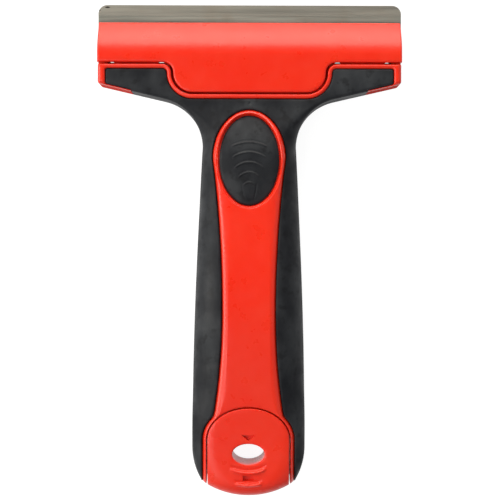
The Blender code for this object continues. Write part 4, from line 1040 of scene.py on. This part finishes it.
def makeDrawer():
    shape = resample(capOutline(0.0), 0.9, True)
    hole = oval((0, cap["holeY"]), cap["holeHalfWidth"], cap["holeHalfLength"])
    grooves = [(shape, True, *cap["edgeRound"]), (hole, True, *cap["holeRound"])]
    faceY = cap["faceY"] - play

    def bottom(points):
        return np.where(points[:, 1] > faceY, frontZ(points) - cap["plate"], grooved(points, -1, grooves))

    guides = grooveGuides(grooves, [(-1,), (1,)], 0.8)
    guides += [(shape, True), crossLine(faceY), crossLine(faceY + 0.02)]
    solid = slab(
        "bladeDrawer", bodyGuides(guides) + endGuides(handle["endBackRound"]),
        lambda q: inPolygon(q, shape) & inPolygon(q, outline), lambda q: grooved(q, 1, grooves), bottom, 1.2,
        [cap["fingerZone"]])
    inner = cap["half"] - cap["wall"]
    radius = handle["endArc"] - cap["wall"]
    turn = math.degrees(math.asin(inner / radius))
    arch = arc((0, endCentreY), radius, -90 - turn, -90 + turn, 4.0)
    room = np.array(arch + [(inner, faceY + 1), (-inner, faceY + 1)])
    cut(solid, slab("cavity", [(room, True)], within(room), lambda q: handleSurface(q, 1) - cap["wall"] - 0.02,
                    lambda q: handleSurface(q, -1) + cap["wall"], 2.0))
    wall = cap["holeWall"]
    tube = oval((0, cap["holeY"]), cap["holeHalfWidth"] + wall, cap["holeHalfLength"] + wall)
    add(solid, prism("tube", tube, *cap["tubeZ"]))
    t = tray
    lipX = t["half"] - t["lip"]
    right = [(t["half"], t["backZ"]), (t["half"], t["lipZ"]), (lipX, t["lipZ"]), (lipX, t["topZ"])]
    profile = right + [(-x, z) for x, z in reversed(right)]
    rail = between("trayTool", *([(x, y, z) for x, z in profile] for y in (cap["holeY"], t["endY"])))
    stopX = t["half"] - t["lip"] / 2
    low, high = (-stopX, t["endY"] - t["lip"], t["topZ"] - 0.5), (stopX, t["endY"] - 0.2, t["lipZ"] - 0.4)
    add(rail, block("stop", low, high))
    add(solid, rail)
    for side in (1, -1):
        add(solid, sideBlock("sideRidge", side, cap["half"] - 0.5, cap["half"] + cap["ridge"],
                             (cap["ridgeEndY"], cap["ridgeZ"][0]), (cap["archY"] + 1.0, cap["ridgeZ"][1])))
    cut(solid, prism("hangHole", hole, -10, 40))
    tip = (0.0, cap["arrowTipY"])
    surface = float(frontZ(np.array([tip]))[0])
    arrow = [(-cap["arrowHalf"], cap["arrowTopY"]), tip, (cap["arrowHalf"], cap["arrowTopY"])]
    cut(solid, prism("arrow", arrow, surface - cap["arrowDepth"], surface + 3))
    lowY, highY = cap["markY"]
    surface = float(handleSurface(np.array([(0.0, (lowY + highY) / 2)]), 1)[0])
    half = cap["markHalf"]
    cut(solid, block("mark", (-half, lowY, surface - cap["markDepth"]), (half, highY, surface + 3)))
    mouldedRibs(solid, "fingerRibs", redPlastic, inMetres(fingerRibs))
    smooth(solid)
    dress(solid, redPlastic, "drawer", "spare_blade_drawer")


# blade and springs
def makeBlade():
    b = blade
    half = b["half"]
    right = arc((half - b["backRadius"], b["backY"] + b["backRadius"]), b["backRadius"], -90, 0, 15)
    right += arc((half - b["frontRadius"], handle["edgeY"] - b["frontRadius"]), b["frontRadius"], 0, 90, 5)
    shape = resample(mirrored(right), 1.2, True)
    startY = handle["edgeY"] - b["bevel"]
    holes = [oval((side * b["pegX"], b["pegY"]), b["pegHole"], b["pegHole"], 32) for side in (1, -1)]

    def inside(points):
        found = inPolygon(points, shape)
        for hole in holes:
            found &= ~inPolygon(points, hole)
        return found

    def top(points):
        share = np.clip((points[:, 1] - startY) / b["bevel"], 0.0, 1.0)
        edge = roundDrop(lineDistance(points, shape, True), *b["edgeRound"]) * (share < 0.01)
        return b["lowZ"] + b["thickness"] - (b["thickness"] - b["edge"]) * share - edge

    guides = [(offsetLine(shape, -b["edgeRound"][0] * part, True), True) for part in (0.5, 1.0)]
    guides = [(shape, True)] + guides + [(hole, True) for hole in holes]
    guides.append(crossLine(startY, half + 1, 1.5))
    solid = slab("scraperBlade", guides, inside, top, flatAt(b["lowZ"]), 2.0)
    shade(solid, 4)
    dress(solid, bladeSteel, "handle", "scraper_blade")


def makeSpring(side, node):
    s = springs
    solid = newSolid(f"clampSpring{'Right' if side > 0 else 'Left'}", [(0, 0, 0)], [])
    sizes = {"Middle X": side * s["x"], "Middle Y": s["y"], "Radius": (s["diameter"] - s["wire"]) / 2,
             "Wire": s["wire"], "Low Z": s["lowZ"] + s["wire"] / 2, "High Z": s["highZ"] - s["wire"] / 2,
             "Turns": s["turns"]}
    woundSpring(solid, "windSpring", wireSteel, inMetres(sizes))
    turnOut(solid)
    shade(solid, 60)
    dress(solid, wireSteel, "handle", node)


makeHandle()
makeGrip()
makePad()
makeCover()
makeDrawer()
makeBlade()
makeSpring(1, "clamp_spring_right")
makeSpring(-1, "clamp_spring_left")
for name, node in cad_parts.items():
    if name.startswith("spare_blade_") and name != "spare_blade_drawer":
        node.material_slots[0].material = spareSteel
    if name.startswith("hinge_pin"):
        node.material_slots[0].material = wireSteel
print("stage: pieces ready")

# floor, light and camera
studio = dict(
    floorShade=0.24, floorGlow=0.93, floorMirror=0.8, worldSeen=0.95,
    ceilingFrom=(0.72, 0.96), wallLight=0.62, ceilingLight=0.08,
    leftToRight=(1.35, 0.55), endToBlade=(0.65, 1.45),
    camera=(0.33, -0.25, 485.15), focal=104.5, roll=0.17)


def makeFloor():
    bpy.ops.mesh.primitive_plane_add(size=6.0, location=(0, 0, -0.00005))
    floor = bpy.context.object
    floor.name = "studioFloor"
    material, tree, shader = nodeMaterial("paleFloor")
    feed(shader, {"Base Color": (studio["floorShade"],) * 3, "Roughness": 0.9, "Specular IOR Level": 0.0})
    calc, ray = calculator(tree), addNode(tree, "ShaderNodeLightPath").outputs
    seen = calc("MULTIPLY", ray["Is Camera Ray"], studio["floorGlow"])
    mirror = calc("MULTIPLY", ray["Is Glossy Ray"], studio["floorMirror"])
    emission = addNode(tree, "ShaderNodeEmission", {"Strength": calc("MAXIMUM", seen, mirror)})
    both = addNode(tree, "ShaderNodeAddShader", {0: shader.outputs[0], 1: emission.outputs[0]})
    feed(tree.nodes["Material Output"], {"Surface": both.outputs[0]})
    floor.data.materials.append(material)


def makeWorld():
    # a dark ceiling over pale walls, so level faces keep their full colour and slopes turn pale
    world = bpy.data.worlds.new("studioWorld")
    bpy.context.scene.world = world
    world.use_nodes = True
    tree = world.node_tree
    direction = split(addNode(tree, "ShaderNodeTexCoord").outputs["Generated"])
    walls = mapRange(direction["Z"], *studio["ceilingFrom"], studio["wallLight"], studio["ceilingLight"])
    left = mapRange(direction["X"], -1.0, 1.0, *studio["leftToRight"])
    front = mapRange(direction["Y"], -1.0, 1.0, *studio["endToBlade"])
    calc = calculator(tree)
    level = calc("MULTIPLY", calc("MULTIPLY", walls, left), front)
    cameraRay = addNode(tree, "ShaderNodeLightPath").outputs["Is Camera Ray"]
    strength = mixNumber(cameraRay, level, studio["worldSeen"])
    feed(tree.nodes["Background"], {"Color": (1.0, 1.0, 1.0), "Strength": strength})


def areaLight(name, place, size, watts, colour, target=(0.0, 0.0, 0.0)):
    data = bpy.data.lights.new(name, "AREA")
    data.shape = "RECTANGLE"
    data.size, data.size_y = size
    data.energy = watts
    data.color = colour
    lamp = newObject(name, data)
    lamp.location = place
    lamp.rotation_euler = (Vector(target) - Vector(place)).to_track_quat("-Z", "Y").to_euler()


def makeCamera():
    data = bpy.data.cameras.new("frontCamera")
    data.lens = studio["focal"]
    data.sensor_width = 36.0
    data.clip_end = 10.0
    camera = newObject("frontCamera", data)
    camera.location = [v * mm for v in studio["camera"]]
    camera.rotation_euler = (0.0, 0.0, math.radians(studio["roll"]))
    bpy.context.scene.camera = camera


makeFloor()
makeWorld()
areaLight("leftBox", (-0.8, -0.05, 0.45), (0.55, 0.5), 4.3, (1.0, 0.96, 0.88))
areaLight("bladeBox", (-0.05, 0.9, 0.3), (1.2, 0.75), 9.8, (1.0, 0.95, 0.84))
areaLight("topFill", (-0.42, -0.3, 1.1), (0.4, 0.4), 2.2, (1.0, 0.98, 0.95), (0.0, -0.06, 0.0))
makeCamera()
bpy.context.scene.view_settings.view_transform = "Standard"
print("stage: studio ready")
